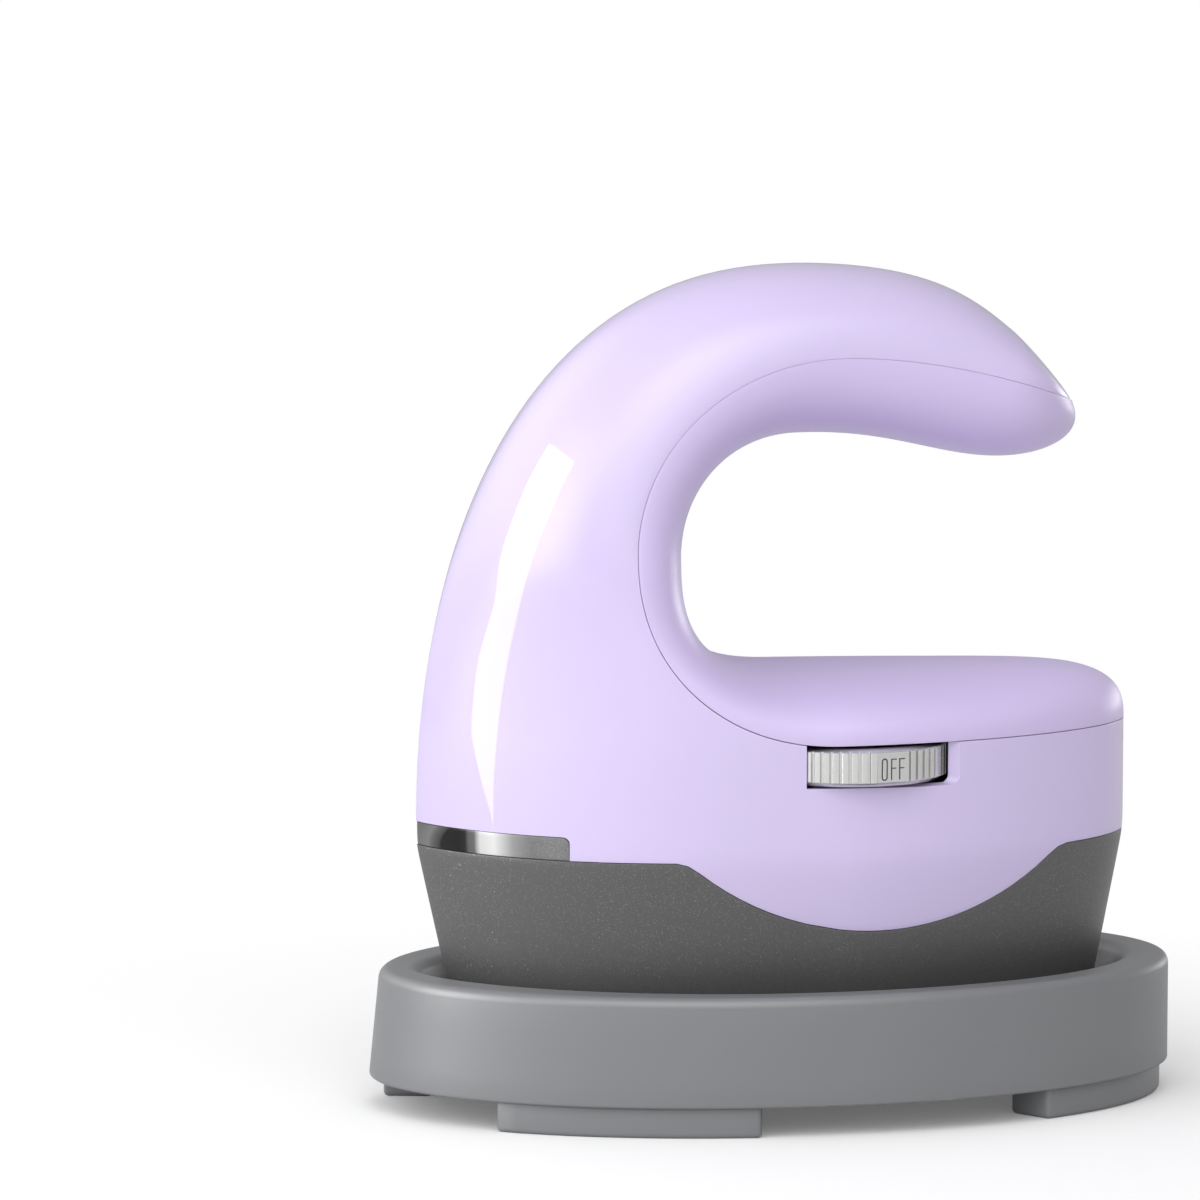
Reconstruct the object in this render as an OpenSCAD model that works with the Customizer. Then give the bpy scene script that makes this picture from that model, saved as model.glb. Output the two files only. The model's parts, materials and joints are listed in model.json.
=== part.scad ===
// Mini handheld heat press on its rest stand.
// Millimetres, +Z up. The front tip points to -X and the dial is on the -Y side.
// The origin is on the table, under the middle of the stand.

/* [Press outline] */
// Reach of the outline ahead of the middle, at the front tip
tip_reach = 59.4; // [54:0.2:66]
// Reach of the outline behind the middle, at the heel
heel_reach = 59.6; // [54:0.2:66]
// Greatest width of the body
body_w = 64; // [58:1:72]
// Place of the greatest width, behind the middle
belly_x = 4.4; // [0:0.2:10]
// Fullness of the flanks, from the belly to the front tip
flank_power = 2.95; // [2.2:0.05:3.6]
// Sharpness of the front tip, where less is rounder
tip_power = 0.77; // [0.6:0.01:0.9]
// Fullness of the heel
heel_power = 1.75; // [1.6:0.05:2.4]

/* [Base housing and plate] */
// Height of the base housing, from its lower edge to the line where the shell starts
housing_h = 28; // [24:1:34]
// How far the housing draws in at its lower edge
housing_draft = 5.8; // [3:0.2:8]
// Wall of the base housing
housing_wall = 2.2; // [1.6:0.2:3]
// Thickness of the web that parts the hot chamber from the electronics
web_t = 2.5; // [2:0.5:4]
// Height of the web's top face above the housing's lower edge
web_rise = 22; // [21:0.5:24]
// Depth of the wave in the housing's upper edge
wave_depth = 12; // [6:0.5:14]
// Radius of the wave
wave_r = 48.7; // [44:0.5:60]
// Middle of the wave, behind the middle of the press
wave_x = 11.4; // [6:0.2:16]
// Radius that eases the wave into the level edge
wave_ease_r = 6; // [3:0.5:8]
// Height of the visible edge of the heating plate
plate_edge_h = 3.7; // [3:0.1:5]
// Set-back of the plate's edge from the housing's lower edge
plate_setback = 0.5; // [0.2:0.1:1.5]
// Bevel round the pressing face
plate_bevel = 1.2; // [0.5:0.1:2]
// Air gap between the plate's edge and the housing
plate_gap = 0.3; // [0.2:0.1:0.8]
// Height of the plate's neck inside the housing
plate_neck_h = 5.5; // [4:0.5:7]

/* [Shell and handle] */
// Height of the shell's wall, from the housing to the seam of the rear deck
shell_wall_h = 18.35; // [16:0.05:22]
// Rise of the rear deck above the seam
deck_rise = 9.75; // [8:0.05:12]
// Height of the arch above the rear deck's seam
arch_h = 75.95; // [72:0.05:80]
// Wall of the shell, the cover and the light window
shell_wall = 2.4; // [2:0.1:3]
// Reach of the handle's nose, behind the middle
nose_reach = 49.6; // [46:0.2:54]
// Half width of the handle at its crest
handle_half_w = 20.5; // [17:0.5:24]
// Half width of the column at its slimmest height
column_half_w = 27; // [24:0.5:30]
// Height of the light window above the housing
window_h = 3.8; // [3:0.1:5]
// Length of the light window, measured along the press from the tip
window_len = 21.6; // [16:0.2:26]

/* [Dial] */
// Diameter of the thumb dial
dial_d = 32.4; // [26:0.2:36]
// Thickness of the thumb dial
dial_t = 5.9; // [4:0.1:6.2]
// How far the dial stands out of the shell
dial_proud = 3; // [2:0.2:5]
// Place of the dial along the press, behind the middle
dial_x = 8.4; // [6:0.2:12]
// Number of thumb ribs round the whole rim
dial_ribs = 62; // [40:2:76]
// Depth of the thumb ribs
rib_depth = 0.5; // [0.3:0.1:0.8]
// Clearance round the dial in its window
dial_clear = 0.35; // [0.25:0.05:1]
// Diameter of the switch shaft
shaft_d = 6; // [5:0.5:8]
// Running clearance of the shaft in the switch bush, on the radius
shaft_fit = 0.05; // [0.02:0.01:0.1]

/* [Cord inlet] */
// Bore of the cord bushing
cord_bore_d = 6.4; // [5:0.1:8]
// Outer diameter of the cord bushing
bushing_d = 11; // [10:0.5:13]
// Height of the cord inlet above the web
inlet_rise = 11.5; // [11:0.5:14]

/* [Stand] */
// Height of the legs
leg_h = 5; // [3:0.5:8]
// Thickness of the legs, across the rim
leg_t = 5.4; // [4:0.2:8]
// Thickness of the tray's floor
floor_t = 4.4; // [3:0.2:6]
// Height of the rest pads on the floor
pad_h = 2; // [1:0.2:4]
// Height of the tray, from its lower edge to its rim
tray_h = 17.8; // [14:0.2:22]
// Gap between the press and the rim at the front and the rear
end_gap = 4.2; // [3:0.2:8]
// Gap between the press and the rim at the sides
side_gap = 5.4; // [3:0.2:8]
// Width of the rim
rim_w = 7; // [5:0.1:9]
// Flare of the tray's outside, from its rim to its lower edge
tray_flare = 1.8; // [0:0.2:3]
// How far the recess draws in from its rim to its floor
recess_draw = 4.4; // [1:0.2:4.6]
// Rounding of the rim's edges
rim_round = 1.6; // [0.8:0.1:2.4]
// Set-back of the legs under the tray's edge
leg_setback = 1.6; // [0.5:0.1:3]

/* [Inside parts] */
// Diameter of the heating tube
heater_d = 6.4; // [5:0.2:7]
// Half distance between the heating tube's legs
heater_half = 13; // [11:0.5:15]
// Diameter of the plate's posts
post_d = 8; // [7:0.5:10]
// Nominal diameter of the screws
screw_d = 3; // [2.5:0.1:3.5]
// Clearance round a screw in its hole, on the radius
screw_clear = 0.15; // [0.05:0.05:0.3]
// Thickness of the circuit boards
board_t = 1.6; // [1:0.1:2]
// Height of the control board above the web
board_rise = 6; // [5:0.5:7]
// Diameter of the lead wires
lead_d = 1.8; // [1.2:0.1:2.4]

/* [Hidden] */

eps = 0.01;
lavender = "#cfc0e6";
cover_lavender = "#c9b8e2";
housing_grey = "#4b4b4c";
stand_grey = "#85868a";
steel = "#b9bcc0";
brass = "#c8a557";
board_green = "#2f6b46";

// ---- Heights above the table ----
tray_z = leg_h;
floor_z = tray_z + floor_t;
sole_z = floor_z + pad_h;
rim_z = tray_z + tray_h;
plate_edge_z = sole_z + plate_edge_h;
housing_z = plate_edge_z + plate_gap;
part_z = housing_z + housing_h;
seam_z = part_z + shell_wall_h;
deck_z = seam_z + deck_rise;
crest_z = seam_z + arch_h;
web_z = housing_z + web_rise;
neck_z = plate_edge_z + plate_neck_h;

// ---- Plan outline: pointed at the front, round at the heel ----
// Moving the outline out by 1 mm moves the tip and the heel a little further, as they curve tightly.
tip_gain = 1.08;
heel_gain = 0.92;
heel_power_gain = 0.009;
plan_steps = 12;

// a runs from 0 at the front tip, by 90 at the belly, to 180 at the heel
function plan_point(a, grow, reach) =
    let (half = body_w / 2 + grow,
         tip = belly_x + reach + tip_gain * grow,
         heel = heel_reach + heel_gain * grow - belly_x,
         power = heel_power + heel_power_gain * grow)
    a <= 90
    ? [belly_x - tip * pow(cos(a), 2 / flank_power), half * pow(sin(a), 2 * tip_power)]
    : [belly_x + heel * pow(-cos(a), 2 / power), half * pow(sin(a), 2 / power)];

function mirror_y(p) = [p.x, -p.y];

function plan(grow, reach = tip_reach) =
    concat([for (i = [0:2 * plan_steps]) mirror_y(plan_point(90 * i / plan_steps, grow, reach))],
           [for (i = [2 * plan_steps - 1:-1:1]) plan_point(90 * i / plan_steps, grow, reach)]);

// How far the housing's side stands in from the body's outline at height z
function draft_at(z) = -housing_draft * (part_z - z) / housing_h;

// ---- Side view curves of the shell ----
function lerp(a, b, t) = a + (b - a) * t;
function bezier(p, t) =
    pow(1 - t, 3) * p[0] + 3 * pow(1 - t, 2) * t * p[1] + 3 * (1 - t) * t * t * p[2] + t * t * t * p[3];
// Quarter of a superellipse: a is 0 on the x side and 90 on the z side
function quarter(c, rx, rz, power, a) =
    [c.x + rx * pow(cos(a), 2 / power), c.y + rz * pow(sin(a), 2 / power)];

// Seam between shell and cover
seam_r = 29.85;
waist_z = seam_z + seam_r;
waist_x = -28.1;
seam_top = [7.4, waist_z + 31.6];
nose = [nose_reach - 0.2, seam_z + 52.75];
seam_lower_power = 2.15;
nose_seam = [nose, [nose.x - 12, nose.y + 4.8], [seam_top.x + 14, seam_top.y], seam_top];

// Outside of the arch
arch_x = 1.5;
arch_base_z = part_z + 4.2;
arch_top = [arch_x, crest_z];
arch_nose = [nose, [nose.x - 12, nose.y + 15.4], [arch_x + 30.4, crest_z], arch_top];
arch_front = [arch_top, [arch_x - 38.6, crest_z], [-tip_reach, arch_base_z + 50.8], [-tip_reach, arch_base_z]];
// Share of the front curve at height z, by halving its range
function front_t(z, lo = 0, hi = 1, turns = 16) =
    turns == 0 ? (lo + hi) / 2 :
    let (mid = (lo + hi) / 2)
    bezier(arch_front, mid).y > z ? front_t(z, mid, hi, turns - 1) : front_t(z, lo, mid, turns - 1);
function front_x(z) = z <= arch_base_z ? -tip_reach : bezier(arch_front, front_t(z)).x;

// Inside of the grip
grip_x = -17.6;
grip_z = deck_z + 18.5;
grip_top = [3.4, deck_z + 38.5];
belly_low = [37.4, deck_z + 34];
grip_upper_power = 2.15;
grip_lower_power = 2.8;
grip_under = [belly_low, [belly_low.x - 10, belly_low.y], [grip_top.x + 16, grip_top.y + 0.2], grip_top];
grip_nose = [nose, [nose_reach + 3.2, deck_z + 37.3], [belly_low.x + 8, belly_low.y], belly_low];

// ---- Stations along the C of the handle: seam point, half width there and shares of the way ----
nose_steps = 6;
top_steps = 6;
back_steps = 8;
foot_steps = 8;
deck_steps = 9;
nose_share = 1 / 3;
nose_len = 15;
nose_half_w = handle_half_w - 2;

// Half width of the nose, closing round towards its end
function nose_width(x) =
    let (u = min(1, (nose.x - x) / nose_len))
    nose_half_w * sqrt(1 - pow(1 - u, 2.2));

function nose_t(i) = nose_share * pow(i / nose_steps, 2);
function top_t(i) = lerp(nose_share, 1, i / top_steps);
function mix_seam(i) = quarter([seam_top.x, waist_z], waist_x - seam_top.x, seam_top.y - waist_z, 2,
                               90 - 90 * i / back_steps);
function foot_seam(i) = quarter([belly_x, waist_z], waist_x - belly_x, -seam_r, seam_lower_power,
                                90 * i / foot_steps);

// Outer stations: [seam point, outer point, belly half width, seam share, flank power, tip power]
handle_flank = 2.2;
handle_tip = 0.5;
column_flank = 2.4;
column_tip = 0.6;
arch_end_t = front_t(waist_z);
function shell_foot(i) =
    let (s = foot_seam(i),
         v = (waist_z - s.y) / seam_r,
         belly = lerp(waist_x, belly_x, v),
         front = front_x(s.y))
    [s, [front, s.y], lerp(column_half_w, body_w / 2, sin(90 * v)), max(0, belly - s.x) / (belly - front),
     lerp(column_flank, flank_power, v), lerp(column_tip, tip_power, v)];
shell_stations = concat(
    [for (i = [0:nose_steps - 1]) let (s = bezier(nose_seam, nose_t(i)))
        [s, bezier(arch_nose, nose_t(i)), nose_width(s.x), 0, handle_flank, handle_tip]],
    [for (i = [0:top_steps - 1]) let (s = bezier(nose_seam, top_t(i)))
        [s, bezier(arch_nose, top_t(i)),
         min(nose_width(s.x), nose_half_w) + (handle_half_w - nose_half_w) * i / top_steps,
         0, handle_flank, handle_tip]],
    [for (i = [0:back_steps - 1]) let (v = i / back_steps)
        [mix_seam(i),
         bezier(arch_front, arch_end_t * v),
         lerp(handle_half_w, column_half_w, v), 0,
         lerp(handle_flank, column_flank, v), lerp(handle_tip, column_tip, v)]],
    [for (i = [0:foot_steps]) shell_foot(i)]);

function seam_angle(st) = acos(pow(st[3], st[4] / 2));
function seam_half(st) = st[2] * pow(sin(seam_angle(st)), 2 * st[5]);

// Inner stations: [seam point, inner point, half width, section power]
handle_section = 2.3;
deck_section = 2.4;
function cover_from(k, inner) = [shell_stations[k][0], inner, seam_half(shell_stations[k]), handle_section];
cover_stations = concat(
    [for (i = [0:nose_steps - 1]) cover_from(i, bezier(grip_nose, i / nose_steps))],
    [for (i = [0:top_steps - 1]) cover_from(nose_steps + i, bezier(grip_under, i / top_steps))],
    [for (i = [0:back_steps - 1])
        cover_from(nose_steps + top_steps + i,
                   quarter([grip_top.x, grip_z], grip_x - grip_top.x, grip_top.y - grip_z,
                           grip_upper_power, 90 - 90 * i / back_steps))],
    [for (i = [0:foot_steps - 1])
        cover_from(nose_steps + top_steps + back_steps + i,
                   quarter([belly_x, grip_z], grip_x - belly_x, deck_z - grip_z,
                           grip_lower_power, 90 * i / foot_steps))]);

// Height of the deck's crown on its way from the belly to the heel; s runs from 0 to 1
function crown(s) = deck_rise * pow(max(0, 1 - pow(s, 10)), 0.42);
function deck_stations(grow, drop) =
    [for (i = [0:deck_steps])
        let (a = 90 + 90 * i / deck_steps,
             p = plan_point(a, grow, tip_reach),
             s = pow(-cos(a), 2 / heel_power))
        [[p.x, seam_z], [p.x, seam_z + max(eps, crown(s) - drop)], max(eps, p.y), deck_section]];

// ---- Rings and chains ----
ring_steps = 12;
function towards(a, b, d) = a + (b - a) * d / max(eps, norm(b - a));

// Half round ring of the shell, from the near seam over the outside to the far seam
function shell_ring(st, inset) =
    let (seam = inset > 0 ? towards(st[0], st[1], -1) : st[0],
         outer = towards(st[1], st[0], inset),
         end = seam_angle(st))
    [for (i = [-ring_steps:ring_steps])
        let (a = end * abs(i) / ring_steps,
             share = (pow(cos(a), 2 / st[4]) - st[3]) / (1 - st[3]),
             p = lerp(seam, outer, share),
             y = max(0, st[2] - inset) * pow(sin(a), 2 * st[5]))
        [p.x, sign(i) * y, p.y]];

// Half round ring of the cover, from the near seam over the grip to the far seam
function cover_ring(st, inset) =
    let (seam = inset > 0 ? towards(st[0], st[1], -1) : st[0],
         inner = towards(st[1], st[0], inset))
    [for (i = [-ring_steps:ring_steps])
        let (a = 90 * abs(i) / ring_steps,
             p = lerp(seam, inner, pow(cos(a), 2 / st[3])),
             y = max(0, st[2] - inset) * pow(sin(a), 2 / st[3]))
        [p.x, sign(i) * y, p.y]];

module wrap(points) {
    hull() polyhedron(points, [for (i = [0:len(points) - 3]) [i, i + 1, i + 2]]);
}

module chain(rings) {
    for (i = [0:len(rings) - 2]) wrap(concat(rings[i], rings[i + 1]));
}

function lift(outline, z) = [for (p = outline) [p.x, p.y, z]];

// ---- Solids that several sub-parts are cut from ----
// The draft starts just above the cut between housing and shell, and inside the walls a little higher
function draft_z(above) = part_z + (above > 0 ? 0.4 : 0.05);
function body_levels(above) =
    [draft_z(above), arch_base_z, lerp(arch_base_z, seam_z, 0.5), seam_z + above];

// Body between two levels, from the housing's lower edge to the deck's seam
module body_mass(grow, above = 0) {
    levels = body_levels(above);
    wrap(concat(lift(plan(grow + draft_at(housing_z - above)), housing_z - above),
                lift(plan(grow), levels[0])));
    for (i = [0:len(levels) - 2])
        wrap(concat(lift(plan(grow, -front_x(levels[i])), levels[i]),
                    lift(plan(grow, -front_x(levels[i + 1])), levels[i + 1])));
}

module arch_mass() {
    chain([for (st = shell_stations) shell_ring(st, 0)]);
}

// Room inside the arch: it starts behind the solid nose and reaches down into the room of the body
module arch_room(inset) {
    foot = shell_ring(shell_stations[len(shell_stations) - 1], inset);
    chain(concat([for (k = [3:len(shell_stations) - 1]) shell_ring(shell_stations[k], inset)],
                 [[for (p = foot) p - [0, 0, 3]]]));
}

module cover_mass(inset) {
    first = inset > 0 ? 3 : 0;
    chain(concat([for (k = [first:len(cover_stations) - 1]) cover_ring(cover_stations[k], inset)],
                 [for (st = deck_stations(0, 0)) cover_ring(st, inset)]));
}

// Wave line in side view, dropped or lifted by a clearance, closed far above
function arc_points(c, r, a0, a1, steps) =
    [for (i = [0:steps]) let (a = lerp(a0, a1, i / steps)) [c.x + r * cos(a), c.y + r * sin(a)]];
module wave_region(clear) {
    far = 100;
    big = [wave_x, part_z - wave_depth + wave_r];
    rise = big.y - part_z + wave_ease_r;
    run = sqrt(pow(wave_r + wave_ease_r, 2) - rise * rise);
    turn = atan2(rise, run);
    low = part_z - wave_ease_r;
    points = concat(
        [[-far, part_z - clear]],
        arc_points([wave_x - run, low], wave_ease_r - clear, 90, turn, 5),
        arc_points(big, wave_r + clear, 180 + turn, 360 - turn, 16),
        arc_points([wave_x + run, low], wave_ease_r - clear, 180 - turn, 90, 5),
        [[far, part_z - clear], [far, part_z + far], [-far, part_z + far]]);
    rotate([90, 0, 0]) linear_extrude(2 * body_w, center = true) polygon(points);
}

// Region of the light window, round the front tip
module window_region(clear) {
    end_x = -tip_reach + window_len;
    translate([end_x + clear - body_w, -body_w, part_z - eps])
        cube([body_w, 2 * body_w, window_h + clear + eps]);
}

// ---- Screws ----
head_d = screw_d * 1.8;
head_h = screw_d * 0.7;
socket_depth = head_h * 0.6;

// Pan head screw: the underside of its head is at z = 0 and its shank points down
module screw(length) {
    difference() {
        union() {
            cylinder(h = head_h, d = head_d, $fn = 32);
            translate([0, 0, -length]) cylinder(h = length + eps, d = screw_d, $fn = 32);
        }
        for (turn = [0, 90])
            rotate(turn) translate([-screw_d * 0.6, -screw_d * 0.12, head_h - socket_depth])
                cube([screw_d * 1.2, screw_d * 0.24, socket_depth + 1]);
    }
}

module screw_hole(length) {
    translate([0, 0, -length]) cylinder(h = length + eps, d = screw_d + 2 * screw_clear, $fn = 32);
}

// ---- Places of the inside parts ----
// Those in front follow the front tip, those behind follow the heel
front_post_x = -tip_reach + 21.4;
rear_post_x = heel_reach - 25.6;
post_places = [[front_post_x, 0], [rear_post_x, 11.6], [rear_post_x, -11.6]];
front_boss_x = -tip_reach + 25.4;
rear_boss_x = heel_reach - 11.6;
shell_boss_places = [[front_boss_x, 16], [front_boss_x, -16], [rear_boss_x, 8], [rear_boss_x, -8]];
cord_rest_x = heel_reach - 22.2;
block_l = 10;
block_front_x = cord_rest_x - block_l - 1.4;
board_front_x = front_boss_x + 6;
board_rear_x = block_front_x - 6;
board_mid_x = (board_front_x + board_rear_x) / 2;
board_post_places = [[board_front_x + 4, 15], [board_front_x + 4, -15],
                     [board_rear_x - 6, 15], [board_mid_x + 2, -15]];
boss_d = screw_d + 4;
cord_rest_w = 18;
cover_boss_x = heel_reach - 21.6;
cover_boss_y = cord_rest_w / 2 + boss_d / 2 + 0.5;
cover_boss_places = [[cover_boss_x, cover_boss_y], [cover_boss_x, -cover_boss_y]];
heater_bend_x = -tip_reach + 45.4;
heater_end_x = board_rear_x + 4;
clamp_x = (heater_bend_x + heater_end_x) / 2 - 1;
clamp_w = 8;
clamp_t = 1.5;
pad_t = 2;
pad_inset = 10.5;
shield_t = 0.8;
strap_x = clamp_x + 11;
strap_t = 0.8;
fuse_d = 4;
fuse_y = 5;
neck_inset = 3.2;
board_inset = 5;
light_board_x = -tip_reach + 10.4;
light_board_t = 1.2;
light_board_w = 14;
light_board_top = part_z + 6;
led_d = 3;
led_pitch = 4;
switch_w = 8.6;
switch_h = 7;
bracket_t = 1.2;
bush_d = 7.6;
bush_rise = 1.4;
dial_gap = 0.5;
block_w = 16;
block_h = 9;
cord_rest_l = 5.6;
cord_screw_y = 6;
saddle_gap = 0.3;
saddle_h = 4.5;

heater_z = neck_z + heater_d / 2;
clamp_z = neck_z + heater_d;
pad_z = clamp_z + clamp_t;
shield_z = pad_z + pad_t;
web_low_z = web_z - web_t;
board_z = web_z + board_rise;
board_top_z = board_z + board_t;
dial_y = -body_w / 2 - dial_proud + dial_d / 2;
dial_z = seam_z - dial_clear - dial_t;
bush_top_z = dial_z - dial_gap;
bracket_z = bush_top_z - bush_rise - bracket_t;
switch_z = bracket_z - switch_h;
inlet_z = web_z + inlet_rise;
shelf_z = part_z + 8;
shelf_t = 2.5;
screw_hole_d = screw_d + 2 * screw_clear;
strap_z = neck_z + fuse_d;

module at_each(places) {
    for (p = places) translate([p.x, p.y, 0]) children();
}

// ---- Stand ----
recess_half_l = (tip_reach + heel_reach) / 2 + tip_gain * draft_at(rim_z) + end_gap;
recess_half_w = body_w / 2 + draft_at(rim_z) + side_gap;
tray_x = tray_flare / 2;
// Rounded rim edges in two slopes: how far in or out, and how far below the rim
rim_bevels = [[0, rim_round], [0.3 * rim_round, 0.3 * rim_round], [rim_round, 0]];
oval_steps = 48;

// Oval outline, grown from the recess; its front end is drawn to a blunt point
function oval_point(a, grow, point, front = 0) =
    let (power = cos(a) > 0 ? 2 * point : 1)
    [tray_x - (recess_half_l + grow) * cos(a) - front * max(0, cos(a)),
     -(recess_half_w + grow) * sign(sin(a)) * pow(abs(sin(a)), power)];
function oval(grow, point = 0.5, front = 0) =
    [for (i = [0:oval_steps - 1]) oval_point(360 * i / oval_steps, grow, point, front)];
recess_point = 0.6;

module stand_body() {
    color(stand_grey) {
        difference() {
            union() {
                wrap(concat(lift(oval(rim_w, 0.5, tray_flare), tray_z), lift(oval(rim_w), rim_z - rim_round)));
                for (i = [0, 1])
                    wrap(concat(lift(oval(rim_w - rim_bevels[i].x), rim_z - rim_bevels[i].y),
                                lift(oval(rim_w - rim_bevels[i + 1].x), rim_z - rim_bevels[i + 1].y)));
            }
            wrap(concat(lift(oval(-recess_draw, recess_point), floor_z),
                        lift(oval(0, recess_point), rim_z - rim_round)));
            for (i = [0, 1])
                wrap(concat(lift(oval(rim_bevels[i].x, recess_point), rim_z - rim_bevels[i].y),
                            lift(oval(rim_bevels[i + 1].x, recess_point), rim_z - rim_bevels[i + 1].y + eps)));
        }
        rest_pads();
        for (span = leg_spans) leg(span[0], span[1]);
    }
}

// Low ribs that carry the plate's pressing face
pad_l = 4;
pad_w = 32;
module rest_pads() {
    for (x = [-30, 0, 30])
        translate([x - pad_l / 2, -pad_w / 2, floor_z - eps]) cube([pad_l, pad_w, pad_h + eps]);
}

// Legs under the rim, each between two angles round the oval:
// 0 at the front tip, 90 at the near side, 180 at the heel, 270 at the far side
leg_spans = [[43, 82], [126, 195], [223, 262], [303, 345]];
leg_steps = 6;
module leg(start, end) {
    edge = rim_w - leg_setback;
    angles = [for (i = [0:leg_steps]) lerp(start, end, i / leg_steps)];
    linear_extrude(leg_h + eps)
        polygon(concat([for (i = [0:leg_steps]) oval_point(angles[i], edge, 0.5, tray_flare)],
                       [for (i = [leg_steps:-1:0]) oval_point(angles[i], edge - leg_t, 0.5, tray_flare)]));
}

// ---- Housing and shells ----
module base_housing() {
    web_edge = 0.8;
    rest_top = inlet_z;
    color(housing_grey) {
        difference() {
            union() {
                difference() {
                    wrap(concat(lift(plan(-housing_draft), housing_z), lift(plan(0), part_z)));
                    translate([0, 0, -eps])
                        wrap(concat(lift(plan(-housing_draft - housing_wall), housing_z),
                                    lift(plan(-housing_wall), part_z + 2 * eps)));
                }
                translate([0, 0, web_low_z])
                    linear_extrude(web_t) polygon(plan(draft_at(web_low_z) - web_edge));
            }
            wave_region(0);
            wave_web_relief();
            at_each(concat(post_places, shell_boss_places, board_post_places))
                translate([0, 0, web_low_z - 1]) cylinder(h = web_t + 2, d = screw_hole_d, $fn = 32);
            lead_slots();
        }
        translate([cord_rest_x, -cord_rest_w / 2, web_z - eps]) difference() {
            cube([cord_rest_l, cord_rest_w, rest_top - web_z + eps]);
            translate([-1, cord_rest_w / 2, rest_top - web_z]) rotate([0, 90, 0])
                cylinder(h = cord_rest_l + 2, d = cord_bore_d, $fn = 32);
            for (y = [-cord_screw_y, cord_screw_y])
                translate([cord_rest_l / 2, cord_rest_w / 2 + y, rest_top - web_z - 8])
                    cylinder(h = 9, d = screw_hole_d, $fn = 32);
        }
    }
}

// Where the wave lets the shell reach below the web, the web stays clear of the shell's wall
shell_clear = 0.3;
module wave_web_relief() {
    edge = draft_at(web_low_z) - shell_wall - shell_clear;
    intersection() {
        wave_region(shell_clear);
        translate([0, 0, web_low_z - 1]) linear_extrude(web_t + 2) difference() {
            polygon(plan(2));
            polygon(plan(edge));
        }
    }
}

module lead_slots() {
    for (y = [-heater_half, heater_half])
        translate([heater_end_x - 3, y, web_low_z - 1]) cylinder(h = web_t + 2, d = 6, $fn = 32);
}

module outer_shell() {
    color(lavender) {
        difference() {
            intersection() {
                difference() {
                    union() {
                        body_mass(0);
                        arch_mass();
                    }
                    body_mass(-shell_wall, 1);
                    arch_room(shell_wall + 0.15);
                }
                wave_region(0);
            }
            window_region(0.1);
            dial_window();
            translate([heel_reach - 12, 0, inlet_z]) rotate([0, 90, 0])
                cylinder(h = 20, d = bushing_d + 0.2, $fn = 48);
        }
        at_each(shell_boss_places) shell_boss();
        shell_webs();
        cover_shelves();
    }
}

// Opening for the dial; its rear end lies further out, and is splayed where the side curves away
window_ahead = 9.9;
window_behind = 14.4;
window_splay = 1.8;
module dial_window() {
    low = dial_z - dial_clear;
    translate([dial_x - window_ahead, -body_w / 2 - 1, low])
        cube([window_ahead + window_behind, 9, seam_z - low + 1]);
    translate([dial_x + window_behind, -body_w / 2, low]) linear_extrude(seam_z - low + 1)
        polygon([[-1, -1], [window_splay, -1], [window_splay, 3.2], [0, 4.6], [-1, 4.6]]);
    translate([dial_x, dial_y, low])
        cylinder(h = seam_z - low + 1, r = dial_d / 2 + dial_clear, $fn = 64);
}

// Screw boss of the shell, standing on the housing's web
boss_rise = part_z + window_h + 6 - web_z;
module shell_boss() {
    translate([0, 0, web_z]) difference() {
        cylinder(h = boss_rise, d = boss_d, $fn = 32);
        translate([0, 0, -1]) cylinder(h = boss_rise - 2, d = screw_hole_d, $fn = 32);
    }
}

// Webs that tie the bosses to the shell's wall, above the light window
module shell_webs() {
    low = part_z + window_h + 1;
    high = web_z + boss_rise;
    intersection() {
        for (p = shell_boss_places)
            translate([p.x - 1, p.y < 0 ? -body_w / 2 : p.y + boss_d / 2 - 1, low])
                cube([2, body_w / 2 - abs(p.y) - boss_d / 2 + 1, high - low]);
        translate([0, 0, low]) linear_extrude(high - low) polygon(plan(-shell_wall / 2));
    }
}

// Shelves in the shell that the cover's bosses stand on
module cover_shelves() {
    difference() {
        translate([0, 0, shelf_z]) linear_extrude(shelf_t) intersection() {
            polygon(plan(-shell_wall / 2));
            for (p = cover_boss_places)
                translate([p.x - boss_d / 2, p.y < 0 ? -body_w / 2 : p.y - boss_d / 2])
                    square([boss_d, body_w / 2 - abs(p.y) + boss_d / 2]);
        }
        at_each(cover_boss_places) translate([0, 0, shelf_z - 1])
            cylinder(h = shelf_t + 2, d = screw_hole_d, $fn = 32);
    }
}

module inner_cover() {
    color(cover_lavender) {
        difference() {
            cover_mass(0);
            cover_mass(shell_wall);
        }
        at_each(cover_boss_places) translate([0, 0, shelf_z + shelf_t]) difference() {
            cylinder(h = deck_z - 3 - shelf_z - shelf_t, d = boss_d, $fn = 32);
            translate([0, 0, -1]) cylinder(h = 8, d = screw_hole_d, $fn = 32);
        }
    }
}

module indicator_window() {
    color("#4a4547") intersection() {
        difference() {
            linear_extrude_between(part_z, part_z + window_h, 0);
            linear_extrude_between(part_z - 1, part_z + window_h + 1, -shell_wall);
        }
        window_region(0);
    }
}

module linear_extrude_between(low, high, grow) {
    translate([0, 0, low]) linear_extrude(high - low) polygon(plan(grow));
}

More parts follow.
